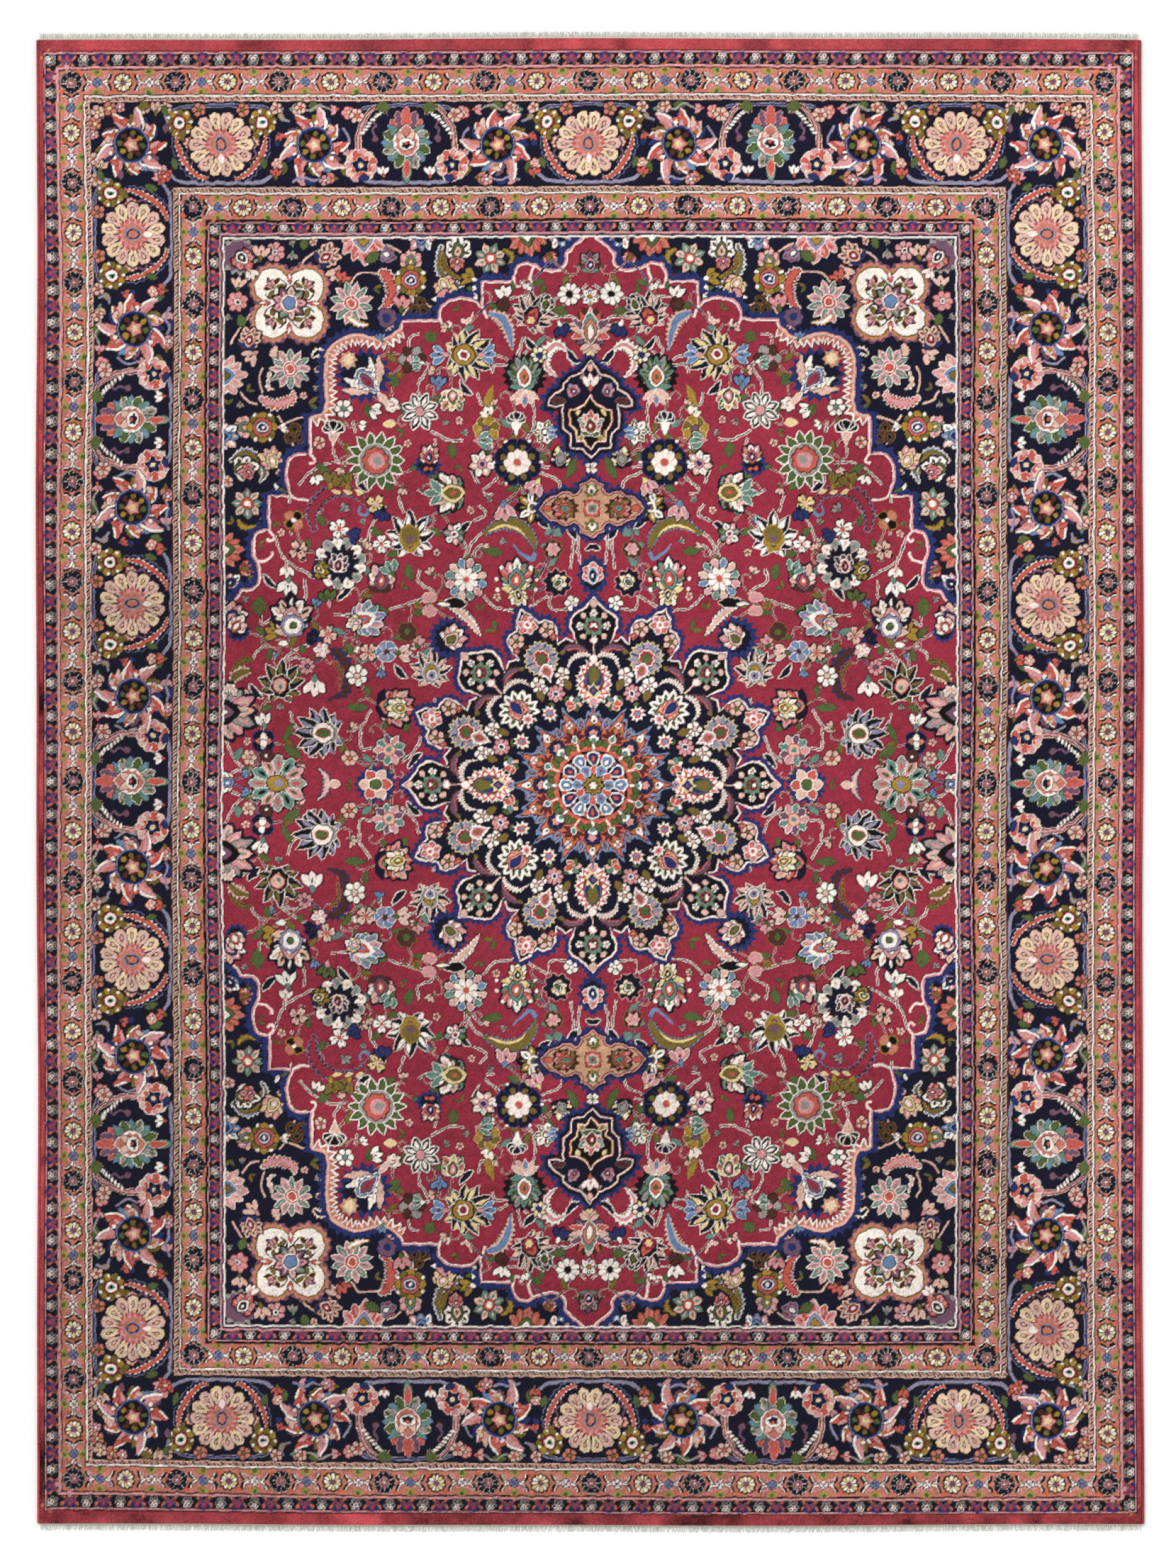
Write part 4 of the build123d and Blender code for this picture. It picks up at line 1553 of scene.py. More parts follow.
def field_leaves():
    """Loose leaves and the big feathered ones."""
    for x, y, length, half, turn, colour, teeth in (
        (815, 100, 58, 15, 205, GREEN, 6),
        (792, 160, 55, 9, 290, GREEN, 0),
        (655, 205, 60, 14, 175, GREEN, 6),
        (660, 380, 42, 11, 230, GREEN, 4),
        (765, 348, 24, 9, 60, GREEN, 0),
        (885, 445, 52, 22, 85, GREEN, 5),
        (40, 868, 62, 14, 290, GREEN, 7),
        (240, 620, 50, 15, 0, GREEN, 5),
        (482, 545, 46, 15, 70, GREEN, 4),
        (540, 455, 56, 15, 20, GREEN, 4),
        (372, 910, 44, 14, 260, GREEN, 4),
        (140, 640, 30, 11, 190, TEAL, 3),
        (510, 1060, 40, 18, 40, GREEN, 5),
        (440, 1200, 36, 18, 220, GREEN, 4),
        (260, 1060, 66, 13, 285, MUSTARD, 6),
        (60, 1250, 40, 15, 10, GREEN, 4),
        (490, 140, 44, 13, 60, GREEN, 4),
        (525, 785, 50, 16, 30, GREEN, 5),
        (100, 660, 30, 16, 120, TEAL, 3),
        (580, 900, 40, 14, 300, GREEN, 4),
        (730, 850, 46, 15, 210, GREEN, 4),
        (655, 365, 30, 9, 300, GREEN, 3),
        (130, 1300, 26, 9, 100, GREEN, 2),
        (205, 1310, 24, 9, 80, GREEN, 2),
        (560, 660, 34, 12, 40, GREEN, 3),
        (480, 840, 30, 11, 160, GREEN, 3),
        (938, 60, 34, 12, 100, TEAL, 3),
        (600, 1010, 40, 12, 240, GREEN, 4),
    ):
        leaf(complex(x, y), length, half, turn, colour, BROWN, 1.4, teeth=teeth, bend=0.12)
    feather(points(705, 355, 672, 345, 648, 300, 656, 245, 700, 225), 20, BLUE, BROWN, BROWN, 12, 2)
    feather(points(690, 330, 668, 300, 672, 250), 8, BROWN, CORAL, OLIVE, 7, 2)
    feather(points(292, 668, 240, 696, 190, 690, 160, 654, 154, 622), 23, SKY, INK, OLIVE, 18, 1.8, 0.6)
    feather(points(276, 674, 236, 688, 198, 682, 172, 656), 7, MUSTARD, OLIVE, GOLD, 8, 1)
    stroke(points(152, 620, 165, 602, 195, 622, 212, 642), 6, SKY, 0.6)
    feather(points(272, 1252, 236, 1236, 216, 1196, 208, 1146), 23, SAND, INK, SKY, 12, 1.6, core=0.4)
    feather(
        points(62, 1150, 90, 1166, 116, 1146, 117, 1108, 84, 1072), 19, CREAM, INK, PINK, 12, 1.6, core=0.26
    )
    stroke(points(52, 1150, 60, 1135, 46, 1128), 5, CREAM, 0.5)
    feather(
        points(738, 672, 742, 722, 712, 768, 664, 784, 618, 768, 588, 728), 21, BROWN, SKY, CRIMSON, 18,
        2.2, 0.5,
    )
    stroke(points(588, 734, 600, 716, 618, 722, 614, 740), 5, SKY, 0.4)
    for spread in (690, 660, 630):
        leaf(complex(spread, 782), 26, 6, 200, GOLD)
    feather(points(390, 484, 355, 462, 322, 430, 300, 395), 15, CREAM, INK, SAND, 12)
    feather(points(905, 300, 940, 290, 962, 262), 22, SAND, BROWN, OLIVE, 7, 3)
    feather(points(900, 330, 930, 325, 958, 300), 8, BROWN, OLIVE, OLIVE, 6)
    for x, y, s in (
        (515, 285, 1), (475, 82, -1), (748, 72, 1), (660, 525, -1), (612, 780, 1), (895, 228, 1),
        (335, 1035, 1), (160, 1150, 1), (50, 1118, 1), (135, 685, 1), (345, 698, -1), (55, 655, 1),
        (860, 520, 1),
    ):
        leaf(complex(x, y) - 22, 46, 8, 20 * s, NAVY, CREAM, 2.4, bend=0.5 * s)


def field_flowers():
    """The flowers of the field in one quarter."""
    # on the cross axis
    palmette(960 + 0j, 41, 0, [CREAM, SAND], BROWN, LILAC, SKY)
    ring(828 + 0j, 12, 16, 82, 21, [INK], belly=0.6)
    ring(828 + 0j, 12, 20, 76, 15, [GREY, TEAL, PINK], CREAM, 0, 1.6, belly=0.62, teeth=4, depth=0.24)
    ring(828 + 0j, 12, 36, 62, 5, [CORAL, INK, GREEN])
    disc(830 + 0j, 26, MUSTARD, BROWN, 3, squash=0.8)
    disc(826 + 0j, 11, LILAC)
    feather(points(724, -44, 704, -24, 700, 0, 704, 24, 724, 44), 13, LILAC, INK, SAND, 8, 2.5)
    leaf(696 + 0j, 30, 9, 180, SAND, CREAM, 2)
    cloud(572 + 0j, 56, BLUE, 0.92, 13)
    ring(572 + 0j, 6, 8, 44, 13, [SAND, CORAL], CREAM, 0, 2.2)
    disc(572 + 0j, 16, GREEN, CREAM, 3)
    # across the middle of the field
    ring(868 + 112j, 4, 0, 30, 15, [NAVY], BLUE, 45, 3, belly=0.66, blunt=0.5)
    ring(868 + 112j, 4, 0, 22, 8, [SALMON, CREAM])
    disc(868 + 106j, 9, CREAM, INK, 2)
    disc(858 + 74j, 17, BROWN, INK, 2, teeth=6)
    disc(858 + 72j, 4, CREAM)
    bud(866 + 152j, 38, 75, CREAM, GREEN, TEAL)
    palmette(984 + 188j, 100, 178, [SAND, GREY, PINK], INK, INK, MAUVE, CREAM, None, 13)
    feather(points(975, 245, 955, 252, 945, 230), 14, CREAM, INK, SAND, 5)
    lily(826 + 258j, 74, 92, OLIVE, CREAM, INK, SAND, 9, NAVY)
    disc(828 + 262j, 17, SAND, CORAL, 3)
    disc(826 + 258j, 6, TEAL)
    lily(708 + 136j, 82, 0, LILAC, CREAM, GREY, CREAM, 11)
    disc(712 + 136j, 27, CREAM, INK, 3)
    disc(712 + 136j, 17, GREEN, CORAL, 3, squash=0.7, turn=0)
    daisy(757 + 312j, 22, PINK, BROWN, MAUVE)
    bud(737 + 282j, 48, 270, CREAM, PINK, TEAL)
    star_flower(720 + 356j, 23, [CREAM, PINK], None, SAND, CREAM, 6, 10)
    cross_flower(598 + 352j, 25, SAND, CORAL)
    daisy(626 + 290j, 29, CREAM, GREEN, SAND, 7)
    daisy(640 + 70j, 22, SAND, GREEN, CORAL, 6)
    daisy(905 + 68j, 19, SAND, GREEN, PINK, 6)
    bud(830 + 398j, 43, 20, MUSTARD, OLIVE)
    palmette(536 + 208j, 70, 190, [SAND, PINK, CORAL], NAVY, SALMON, TEAL, CREAM, NAVY, 11)
    palmette(510 + 204j, 41, 0, [GOLD, CREAM], NAVY, GOLD, MUSTARD)
    lily(432 + 300j, 67, 95, SAND, CREAM, GREY, MUSTARD, 9, NAVY)
    disc(430 + 292j, 11, LILAC, CREAM, 3)
    disc(430 + 292j, 4, NAVY)
    ring(548 + 355j, 6, 0, 29, 13, [SKY, LILAC], CREAM, 0, 1.6, belly=0.66, blunt=0.5)
    disc(548 + 355j, 8, BROWN, teeth=4, depth=0.4)
    bud(520 + 352j, 38, 180, SAND, CREAM)
    cloud(384 + 392j, 56, BLUE, 1.05, 13)
    palmette(380 + 388j, 48, 140, [SAND, CREAM, PINK], INK, SAND, GREEN, OLIVE)
    bud(470 + 372j, 31, 110, PINK)
    disc(494 + 408j, 24, BROWN, OLIVE, 2, teeth=7)
    disc(494 + 408j, 9, GREEN)
    ring(538 + 92j, 9, 6, 46, 15, [INK], belly=0.6)
    ring(538 + 92j, 9, 8, 42, 11, [PINK, TEAL, MAUVE], CREAM, 0, 1.8, belly=0.6, teeth=3)
    disc(538 + 92j, 15, SAND, CORAL, 3)
    disc(538 + 92j, 7, TEAL)
    # above the medallion
    lily(484 + 652j, 79, 90, CREAM, CREAM, MUSTARD, MAUVE, 9, NAVY)
    disc(484 + 664j, 24, OLIVE, MUSTARD, 4)
    disc(484 + 655j, 10, MAUVE)
    ring(572 + 862j, 14, 34, 78, 11, [GREEN], CREAM, 0, 3.0, belly=0.4, blunt=1.0)
    disc(572 + 862j, 44, GREY, CREAM, 2)
    disc(572 + 862j, 33, CORAL, BROWN, 3, teeth=9)
    disc(570 + 862j, 22, PINK)
    disc(566 + 862j, 12, GREY)
    cloud(434 + 850j, 36, BLUE, 0.9, 8)
    palmette(430 + 868j, 38, 95, [PINK, CREAM, SALMON], INK, CORAL, BLUE)
    disc(440 + 840j, 6, CORAL)
    disc(426 + 838j, 6, CORAL)
    palmette(366 + 776j, 72, 0, [SAND, TEAL, BROWN, CREAM], INK, GOLD, OLIVE, CORAL, None, 11)
    for lean in (-50, 0, 50):
        leaf(400 + 776j, 44, 11, lean, TEAL, CREAM, 1.8, teeth=4)
    star_flower(290 + 852j, 35, [CREAM, SAND], BROWN, BLUE, PINK, 7, 90)
    ring(196 + 856j, 8, 18, 62, 19, [NAVY], BLUE, 22.5, 3.0, belly=0.72, blunt=0.5)
    ring(196 + 856j, 8, 30, 50, 8, [OLIVE], None, 22.5, belly=0.6, blunt=0.6)
    ring(196 + 856j, 8, 2, 34, 10.5, [CREAM], SAND, 0, 1.6, belly=0.66, blunt=0.5)
    disc(196 + 856j, 9, CORAL, PINK, 2)
    for k in range(6):
        disc(196 + 856j + 64 * turned(60 * k), 4.2, CREAM)
    palmette(82 + 862j, 40, 110, [GOLD, CREAM, NAVY], INK, GREY, GREY, GREY, NAVY)
    ring(278 + 942j, 7, 0, 36, 14, [MUSTARD, OLIVE], GOLD, 10, 1.2, belly=0.62, blunt=0.6)
    disc(278 + 942j, 11, MAUVE, INK, 1.5)
    bud(304 + 914j, 41, 180, TEAL, CREAM, PINK)
    bud(268 + 975j, 29, 60, CREAM, GOLD, MUSTARD)
    ring(454 + 992j, 8, 4, 54, 15, [INK], None, 22, belly=0.55)
    ring(454 + 992j, 8, 6, 50, 10, [INK], CREAM, 22, 3.4, belly=0.55)
    ring(454 + 992j, 8, 14, 42, 4.5, [CREAM], None, 22)
    disc(454 + 992j, 12, PINK, BROWN, 2)
    fan_flower(198 + 962j, 46, 90, NAVY, CREAM, CREAM)
    star_flower(122 + 936j, 32, [OLIVE, CREAM], CREAM, CREAM, BROWN, 7)
    bud(88 + 934j, 29, 0, SKY, CREAM, BLUE)
    star_flower(158 + 738j, 43, [NAVY, MUSTARD, CREAM], None, OLIVE, CREAM, 9)
    bud(236 + 748j, 46, 260, PINK, CREAM, SKY)
    ring(338 + 548j, 12, 20, 60, 14, [INK], None, 15, belly=0.66, blunt=0.6)
    ring(
        338 + 548j, 12, 26, 56, 10, [TEAL, SAND, SKY, PINK], CREAM, 15, 1.4, belly=0.66, blunt=0.7, teeth=3
    )
    ring(338 + 548j, 8, 4, 34, 8, [CREAM], BROWN, 22.5, 1.6, belly=0.66, blunt=0.6)
    disc(338 + 548j, 8, CORAL, SAND, 2)
    palmette(204 + 545j, 62, 92, [PINK, CREAM, TEAL, CORAL], INK, TEAL, CORAL, CREAM, GOLD, 11)
    for turn in (10, 45, 90, 135, 170, -20, 200):
        disc(204 + 540j + 54 * turned(turn), 5, CREAM)
    palmette(200 + 508j, 36, 270, [GOLD, CREAM], BROWN, GOLD, BROWN)
    disc(95 + 540j, 34, NAVY, PINK, teeth=9, depth=0.2)
    palmette(95 + 538j, 30, 140, [CREAM, GOLD], INK, CREAM, GREEN, GREEN, None, 7)
    daisy(58 + 486j, 20, CREAM, GREEN, CREAM, 5)
    leaf(400 + 486j, 66, 14, 180, INK, CREAM, 2.0)
    for s in (-1, 1):
        disc(434 + 482j + s * 18j, 17, PINK, SAND, 3, squash=0.7, teeth=8)
        disc(434 + s * 32 + 482j, 9, OLIVE, MUSTARD, 2)
    leaf(416 + 482j, 36, 5, 180, CREAM, INK, 3)
    disc(106 + 628j, 24, BROWN, OLIVE, 2, teeth=8)
    star_flower(106 + 628j, 20, [PINK, SAND], None, PINK, PINK, 6)
    star_flower(366 + 668j, 31, [TEAL, PINK, CREAM, GREEN], INK, CRIMSON, CREAM, 7, 10)
    bud(142 + 808j, 41, 300, PINK, CREAM, GOLD)
    # between the medallion and the spandrels
    cloud(334 + 1140j, 44, BLUE, 1.0, 8)
    lily(338 + 1140j, 84, 180, GOLD, CREAM, OLIVE, MUSTARD, 11, NAVY)
    disc(338 + 1140j, 27, MUSTARD, INK, 3)
    disc(338 + 1140j, 15, CREAM, CRIMSON, 3, teeth=6)
    disc(338 + 1140j, 8, CRIMSON, INK, 1)
    for s in (0, 180):
        bud(338 + 1140j + 46 * turned(s), 43, s, SKY, CREAM, PINK)
    palmette(368 + 1032j, 46, 270, [GREEN, GOLD, SALMON], CREAM, OLIVE, PINK)
    bud(404 + 1052j, 36, 90, SKY, NAVY, SKY)
    ring(474 + 1130j, 6, 0, 38, 15, [GREY, BROWN], INK, 0, 2.0, belly=0.62, teeth=3, depth=0.2)
    disc(474 + 1130j, 12, PINK, BROWN, 2)
    bud(448 + 1120j, 31, 0, TEAL, CREAM, CREAM)
    palmette(532 + 1012j, 29, 210, [CREAM, SAND], None, CREAM, SAND, CREAM, None, 7)
    lily(156 + 1240j, 70, 118, SAND, CREAM, INK, CORAL, 11, NAVY)
    burst(160 + 1230j, 22, CRIMSON, 9, 0.3)
    burst(160 + 1230j, 12, GOLD, 6, 0.3)
    palmette(118 + 1270j, 31, 100, [NAVY], CREAM, OLIVE, GREEN, GREEN, None, 7)
    burst(176 + 1084j, 62, INK, 17, 0.2)
    palmette(176 + 1078j, 62, 90, [TEAL, GREEN, GREY], INK, CREAM, ORANGE, GREEN, TEAL, 13, 1.0, 0.8)
    for spread in (-56, -28, 0, 28, 56):
        leaf(176 + 1046j, 44, 10, 270 + spread, SAND if spread else PINK, CREAM, 1.5, teeth=3)
    leaf(176 + 1030j, 22, 6, 270, SKY)
    daisy(56 + 1300j, 31, CREAM, GREY, INK, 9)
    disc(232 + 1272j, 17, BROWN, INK, 2, teeth=6)
    bud(228 + 1286j, 38, 80, CREAM, None, BROWN)
    feather(points(345, 1232, 325, 1228, 312, 1256), 7, CREAM, None, SAND, 4)
    star_flower(136 + 1138j, 23, [CREAM, GOLD], INK, BLUE, BLUE, 7)
    bud(82 + 1222j, 38, 250, BLUE, NAVY, CREAM)
    burst(604 + 1088j, 78, BLUE, 17, 0.24)
    burst(608 + 1092j, 60, NAVY, 15, 0.2)
    for spread in (-62, -38, 38, 62):
        leaf(
            572 + 1052j, 88, 13, 48 + spread, SAND if abs(spread) > 50 else CREAM, INK, 1.8, teeth=4,
            bend=-0.004 * spread,
        )
    leaf(552 + 1028j, 104, 34, 48, CREAM, INK, 2.0, belly=0.7, teeth=6)
    leaf(560 + 1036j, 88, 24, 48, SKY, BROWN, 1.8, belly=0.7, teeth=5)
    leaf(572 + 1050j, 62, 15, 48, MAUVE, CREAM, 1.8, belly=0.6)
    leaf(580 + 1058j, 40, 7, 48, CRIMSON)
    burst(644 + 1130j, 26, TAN, 8, 0.3)
    burst(644 + 1130j, 17, WHEAT, 7, 0.3)
    leaf(566 + 1042j, 48, 8, 228, SAND, CREAM, 1.6)
    # beside the spandrels
    fan_flower(684 + 938j, 53, 90, INK, CREAM, SAND)
    bud(736 + 826j, 31, 250, CREAM)
    bud(645 + 790j, 41, 60, OLIVE, MUSTARD, MUSTARD)
    bud(695 + 792j, 41, 110, OLIVE, MUSTARD, MUSTARD)
    ring(792 + 702j, 4, 2, 27, 12, [SALMON, INK], MUSTARD, 45, 2.4, belly=0.62, blunt=0.5)
    disc(792 + 702j, 6, CREAM)
    ring(670 + 588j, 13, 24, 74, 19, [INK], belly=0.7, blunt=0.7)
    ring(
        670 + 588j, 13, 30, 70, 14, [GREY, CREAM], CREAM, 0, 1.4, belly=0.72, blunt=0.7, teeth=4, depth=0.22
    )
    ring(670 + 588j, 13, 50, 63, 4, [TEAL, SAND])
    disc(670 + 586j, 45, NAVY, teeth=11, depth=0.3)
    palmette(676 + 580j, 38, 100, [MAUVE, NAVY], CREAM, PINK, BROWN, PINK)
    palmette(728 + 572j, 34, 200, [MUSTARD, OLIVE], INK, GOLD, OLIVE, CREAM, BLUE)
    cross_flower(672 + 680j, 26, CREAM, CORAL, 20)
    bud(648 + 668j, 34, 200, BLUE, NAVY, BLUE)
    cross_flower(780 + 622j, 25, SAND, INK, 60)
    bud(806 + 545j, 46, 280, CREAM, TEAL, TEAL)
    bud(812 + 580j, 31, 270, CREAM, SAND, SAND)
    palmette(800 + 432j, 74, 90, [CREAM, SAND, NAVY], INK, PINK, CREAM, LILAC, SAND, 11)
    disc(796 + 420j, 30, LILAC, INK, 2, teeth=8)
    disc(796 + 420j, 20, CREAM, CREAM, 2)
    disc(796 + 420j, 9, GREEN, BROWN, 2)
    leaf(806 + 372j, 30, 8, 0, CREAM, INK, 2)
    palmette(960 + 440j, 48, 130, [SAND, PINK, CREAM], INK, BLUE, PINK, CREAM, BLUE)
    cloud(940 + 405j, 30, BLUE, 1.0, 7)
    palmette(946 + 415j, 36, 120, [SAND, CREAM], BROWN, CORAL, CREAM, CREAM, None, 7)
    cross_flower(702 + 398j, 24, SAND, CORAL, 10)
    bud(725 + 385j, 36, 20, NAVY, BLUE, BLUE)
    palmette(614 + 438j, 66, 165, [TEAL, SKY, PINK, LILAC], CREAM, CREAM, CORAL, SKY, None, 11)
    palmette(628 + 432j, 30, 340, [CREAM, SAND, GOLD], INK, CREAM, PINK, CREAM, None, 7)
    palmette(562 + 540j, 53, 100, [SAND, PINK, CREAM], BROWN, MAUVE, CORAL, CREAM, BROWN)
    bud(530 + 560j, 41, 60, TEAL, CREAM)
    bud(700 + 480j, 41, 80, GREEN, INK, PINK)
    cross_flower(560 + 640j, 24, CREAM, CORAL, 0)
    cross_flower(572 + 745j, 26, GOLD, SAND, 30)
    bud(555 + 735j, 36, 280, BLUE, NAVY, NAVY)
    bud(590 + 1000j, 36, 200, CREAM, OLIVE)
    daisy(656 + 1000j, 24, CREAM, OLIVE, TEAL, 6)
    leaf(552 + 960j, 34, 10, 180, GOLD, SAND, 2)


def field():
    """The field: ground, spandrels, stems, leaves, flowers, pendant and medallion."""
    half_width, half_length = EDGES["field"][:2]
    rectangle(half_width, half_length, CRIMSON)
    spandrel = np.concatenate([spandrel_outline(), points(1000, 460, 1000, 1480, 10, 1480)])
    fill(spandrel, NAVY)
    keep = CARTOON.copy()
    spandrel_flowers()
    fill_gaps(
        NAVY, 20, 0, half_width, 468, half_length,
        [sprig_flower, sprig_leaf, sprig_bud, sprig_curl, sprig_star],
    )
    fill_gaps(NAVY, 13, 0, half_width, 468, half_length, [sprig_leaf, sprig_flower, sprig_bud], 2.0)
    inside = np.zeros_like(AREA)
    fill(spandrel, 1, inside)
    CARTOON[inside == 0] = keep[inside == 0]
    spandrel_edge()
    field_stems()
    tie_flowers(FIELD_MARKS)
    field_leaves()
    field_flowers()
    axis_pendant()
    medallion()
    fill_gaps(NAVY, 11, 0, 400, 0, 400, [sprig_flower, sprig_leaf, sprig_bud, sprig_star], 1.9)
    fill_gaps(
        CRIMSON, 21, 0, half_width, 0, half_length,
        [sprig_leaf, sprig_bud, sprig_flower, sprig_curl, sprig_star],
    )
    fill_gaps(CRIMSON, 14, 0, half_width, 0, half_length, [sprig_leaf, sprig_flower, sprig_bud], 2.4)


def draw_cartoon():
    """The whole quarter, from the outside inwards, and which area each spot belongs to."""
    guard("outer_guard")
    salmon_border("outer_border")
    barber_stripe("outer_barber_stripe")
    main_border()
    barber_stripe("inner_barber_stripe")
    salmon_border("inner_border")
    guard("inner_guard")
    half_width, half_length = EDGES["field"][:2]
    border = CARTOON.copy()
    field()
    across = (np.arange(COLUMNS) + 0.5) * FINE
    along = (np.arange(ROWS) + 0.5) * FINE
    outside = (across[None, :] > half_width) | (along[:, None] > half_length)
    CARTOON[outside] = border[outside]
    for number, name in enumerate(BANDS):
        rectangle(*EDGES[name][:2], number, AREA)
    rectangle(half_width, half_length, FIELD_AREA, AREA)
    corner = points(half_width, 468, half_width, half_length)
    fill(np.concatenate([spandrel_outline(), corner]), SPANDREL_AREA, AREA)
    fill(medallion_outline(), MEDALLION_AREA, AREA)


draw_cartoon()

# ---------------------------------------------------------------- knots


def mirrored(quarter):
    """The whole carpet, south to north and west to east, from its north-east quarter."""
    half = np.concatenate([quarter[:, ::-1], quarter], axis=1)
    return np.concatenate([half[::-1], half], axis=0)


def soft_noise(rows, columns, cell):
    """Smooth noise about zero, with a random value every so many steps."""
    field_values = rng.normal(size=(int(rows / cell) + 2, int(columns / cell) + 2))
    for axis, count in enumerate((rows, columns)):
        place = np.arange(count) / cell
        low = place.astype(int)
        share = place - low
        share = share * share * (3 - 2 * share)
        share = share[:, None] if axis == 0 else share[None, :]
        lower = np.take(field_values, low, axis)
        upper = np.take(field_values, low + 1, axis)
        field_values = lower * (1 - share) + upper * share
    return field_values


def places(rows, columns):
    """The x and y of every spot of the whole carpet's canvas."""
    y = (np.arange(rows)[:, None] + 0.5) * FINE - HALF_LENGTH
    x = (np.arange(columns)[None, :] + 0.5) * FINE - HALF_WIDTH
    return x, y


def stripes(canvas, area, name, second):
    """Slanting yarn marks along a thin stripe, all leaning the same way round the carpet."""
    outer_x, outer_y, inner_x, inner_y = EDGES[name]
    x, y = places(*canvas.shape)
    on_end = (np.abs(y) > inner_y) & (np.abs(x) < outer_x)
    along = np.where(on_end, x * np.sign(y), -y * np.sign(x))
    across = np.where(on_end, np.abs(y) - inner_y, np.abs(x) - inner_x)
    phase = (along + 0.9 * across) / 19 % 1
    colours = np.select([phase < 0.38, phase < 0.56, phase < 0.8], [BROWN, SAND, second], SAND)
    marked = (area == BANDS.index(name)) & (across > 6) & (across < (outer_y - inner_y) - 6)
    canvas[marked] = colours[marked]


def strayed(rows, columns):
    """Which spot of the cartoon each spot of the carpet follows, as a weaver's hand strays a little."""
    x, y = places(rows, columns)
    calm = np.minimum(1, np.minimum(HALF_WIDTH - np.abs(x), HALF_LENGTH - np.abs(y)) / 60)
    shift_x = (2.6 * soft_noise(rows, columns, 420) + 1.3 * soft_noise(rows, columns, 9)) * calm
    shift_y = (2.6 * soft_noise(rows, columns, 420) + 1.3 * soft_noise(rows, columns, 9)) * calm
    # the middle of the design sits low and to the right, and its south end leans
    middle = np.exp(-(x**2 + y**2) / 900**2)
    shift_x = shift_x - 9 * middle
    shift_y = shift_y + 12 * middle + 7 * calm * np.clip(-y / HALF_LENGTH, 0, 1) ** 3 * x / HALF_WIDTH
    row = np.arange(rows)[:, None] + np.round(shift_y / FINE).astype(int)
    column = np.arange(columns)[None, :] + np.round(shift_x / FINE).astype(int)
    return np.clip(row, 0, rows - 1), np.clip(column, 0, columns - 1)


def blended(canvas):
    """The dyes where four spots of the canvas meet at each corner of the knots, a little sharpened."""
    dyes = (np.array(list(DYES.values())) / 255.0) ** 2.2
    tuft = np.pad(dyes[canvas], ((1, 1), (1, 1), (0, 0)), mode="edge")
    tuft = (tuft[0::2, 0::2] + tuft[1::2, 0::2] + tuft[0::2, 1::2] + tuft[1::2, 1::2]) / 4
    near = (np.roll(tuft, 1, 0) + np.roll(tuft, -1, 0) + np.roll(tuft, 1, 1) + np.roll(tuft, -1, 1)) / 4
    tuft = np.clip(tuft + 0.45 * (tuft - near), 0.004, 1)
    # washed wool: the pale yarns stand out brighter and the dark ones sink
    return tuft * ((tuft @ (0.3, 0.59, 0.11)) / 0.2)[:, :, None] ** 0.13


def tone_and_painted_light(rows, columns):
    """Painted light and shade on each knot, brighter to the north, a little to the east and in the middle,
    with the wool's own random streaks and mottling.
    """
    north = np.linspace(-1, 1, rows)[:, None]
    east = np.linspace(-1, 1, columns)[None, :]
    edge = np.maximum(np.abs(north), np.abs(east)) ** 6
    return (
        # painted light and shade: the level, the pool of light in the middle, the north and east ramps, and
        # the outermost knots lighter to the north-east and darker to the south-west; the noise terms are
        # the wool's own tone
        0.762
        + 0.08 * np.exp(-(north**2 + (0.74 * east) ** 2) / 0.08)
        + 0.12 * north
        + 0.055 * east
        + 0.04 * edge * np.sign(north + 0.6 * east)
        + 0.10 * rng.normal(size=(rows, columns))
        + 0.05 * soft_noise(rows, columns, 4)
        + 0.05 * soft_noise(rows, columns, 90)
        + 0.03 * soft_noise(rows, 1, 9)
    )


def knotted():
    """The colour of the pile at each corner of its grid of knots, and the area of each knot."""
    canvas = mirrored(CARTOON)
    area = mirrored(AREA)
    stripes(canvas, area, "outer_barber_stripe", BRICK)
    stripes(canvas, area, "inner_barber_stripe", OLIVE)
    row, column = strayed(*canvas.shape)
    tuft = blended(canvas[row, column])
    rows, columns = tuft.shape[:2]
    # painted light and shade with the wool's random tone, then the worn band's mottling, all multiplied
    # into the knots' colours below
    painted_light_tone_and_wear = tone_and_painted_light(rows, columns)
    # the plain band at the edge is worn: mottled, and faded in spots
    x = np.abs(np.linspace(-HALF_WIDTH, HALF_WIDTH, columns))[None, :]
    y = np.abs(np.linspace(-HALF_LENGTH, HALF_LENGTH, rows))[:, None]
    _, _, plain_x, plain_y = EDGES["plain_band"]
    worn = (x > plain_x) | (y > plain_y)
    painted_light_tone_and_wear = painted_light_tone_and_wear + worn * (0.2 * soft_noise(rows, columns, 14) + 0.14 * soft_noise(rows, columns, 60))
    faded = 0.018 * np.abs(rng.normal(size=(np.count_nonzero(worn), 1)))
    tuft[worn] += faded * np.array([0.7, 1.0, 1.0])
    tuft = tuft * painted_light_tone_and_wear[:, :, None] * (1 + 0.035 * rng.normal(size=(rows, columns, 3)))
    return np.clip(tuft, 0.004, 0.95), area[row, column][::2, ::2]


TUFTS, KNOT_AREA = knotted()

# ---------------------------------------------------------------- pile

STRIPS = ("north", "east", "south", "west")


def lie(spots):
    """The small sideways wander of a carpet's edges, in millimetres."""
    x, y = spots[:, 0], spots[:, 1]
    moved = spots.copy()
    moved[:, 0] += 1.9 * np.sin(
        y / 410 + 0.6
    ) * x / HALF_WIDTH + 1.2 * np.sin(y / 173) - 1.5 * y / HALF_LENGTH
    moved[:, 1] += 2.2 * np.sin(x / 520 + 1.1) * y / HALF_LENGTH + 1.0 * np.sin(x / 190 + 2.0)
    return moved


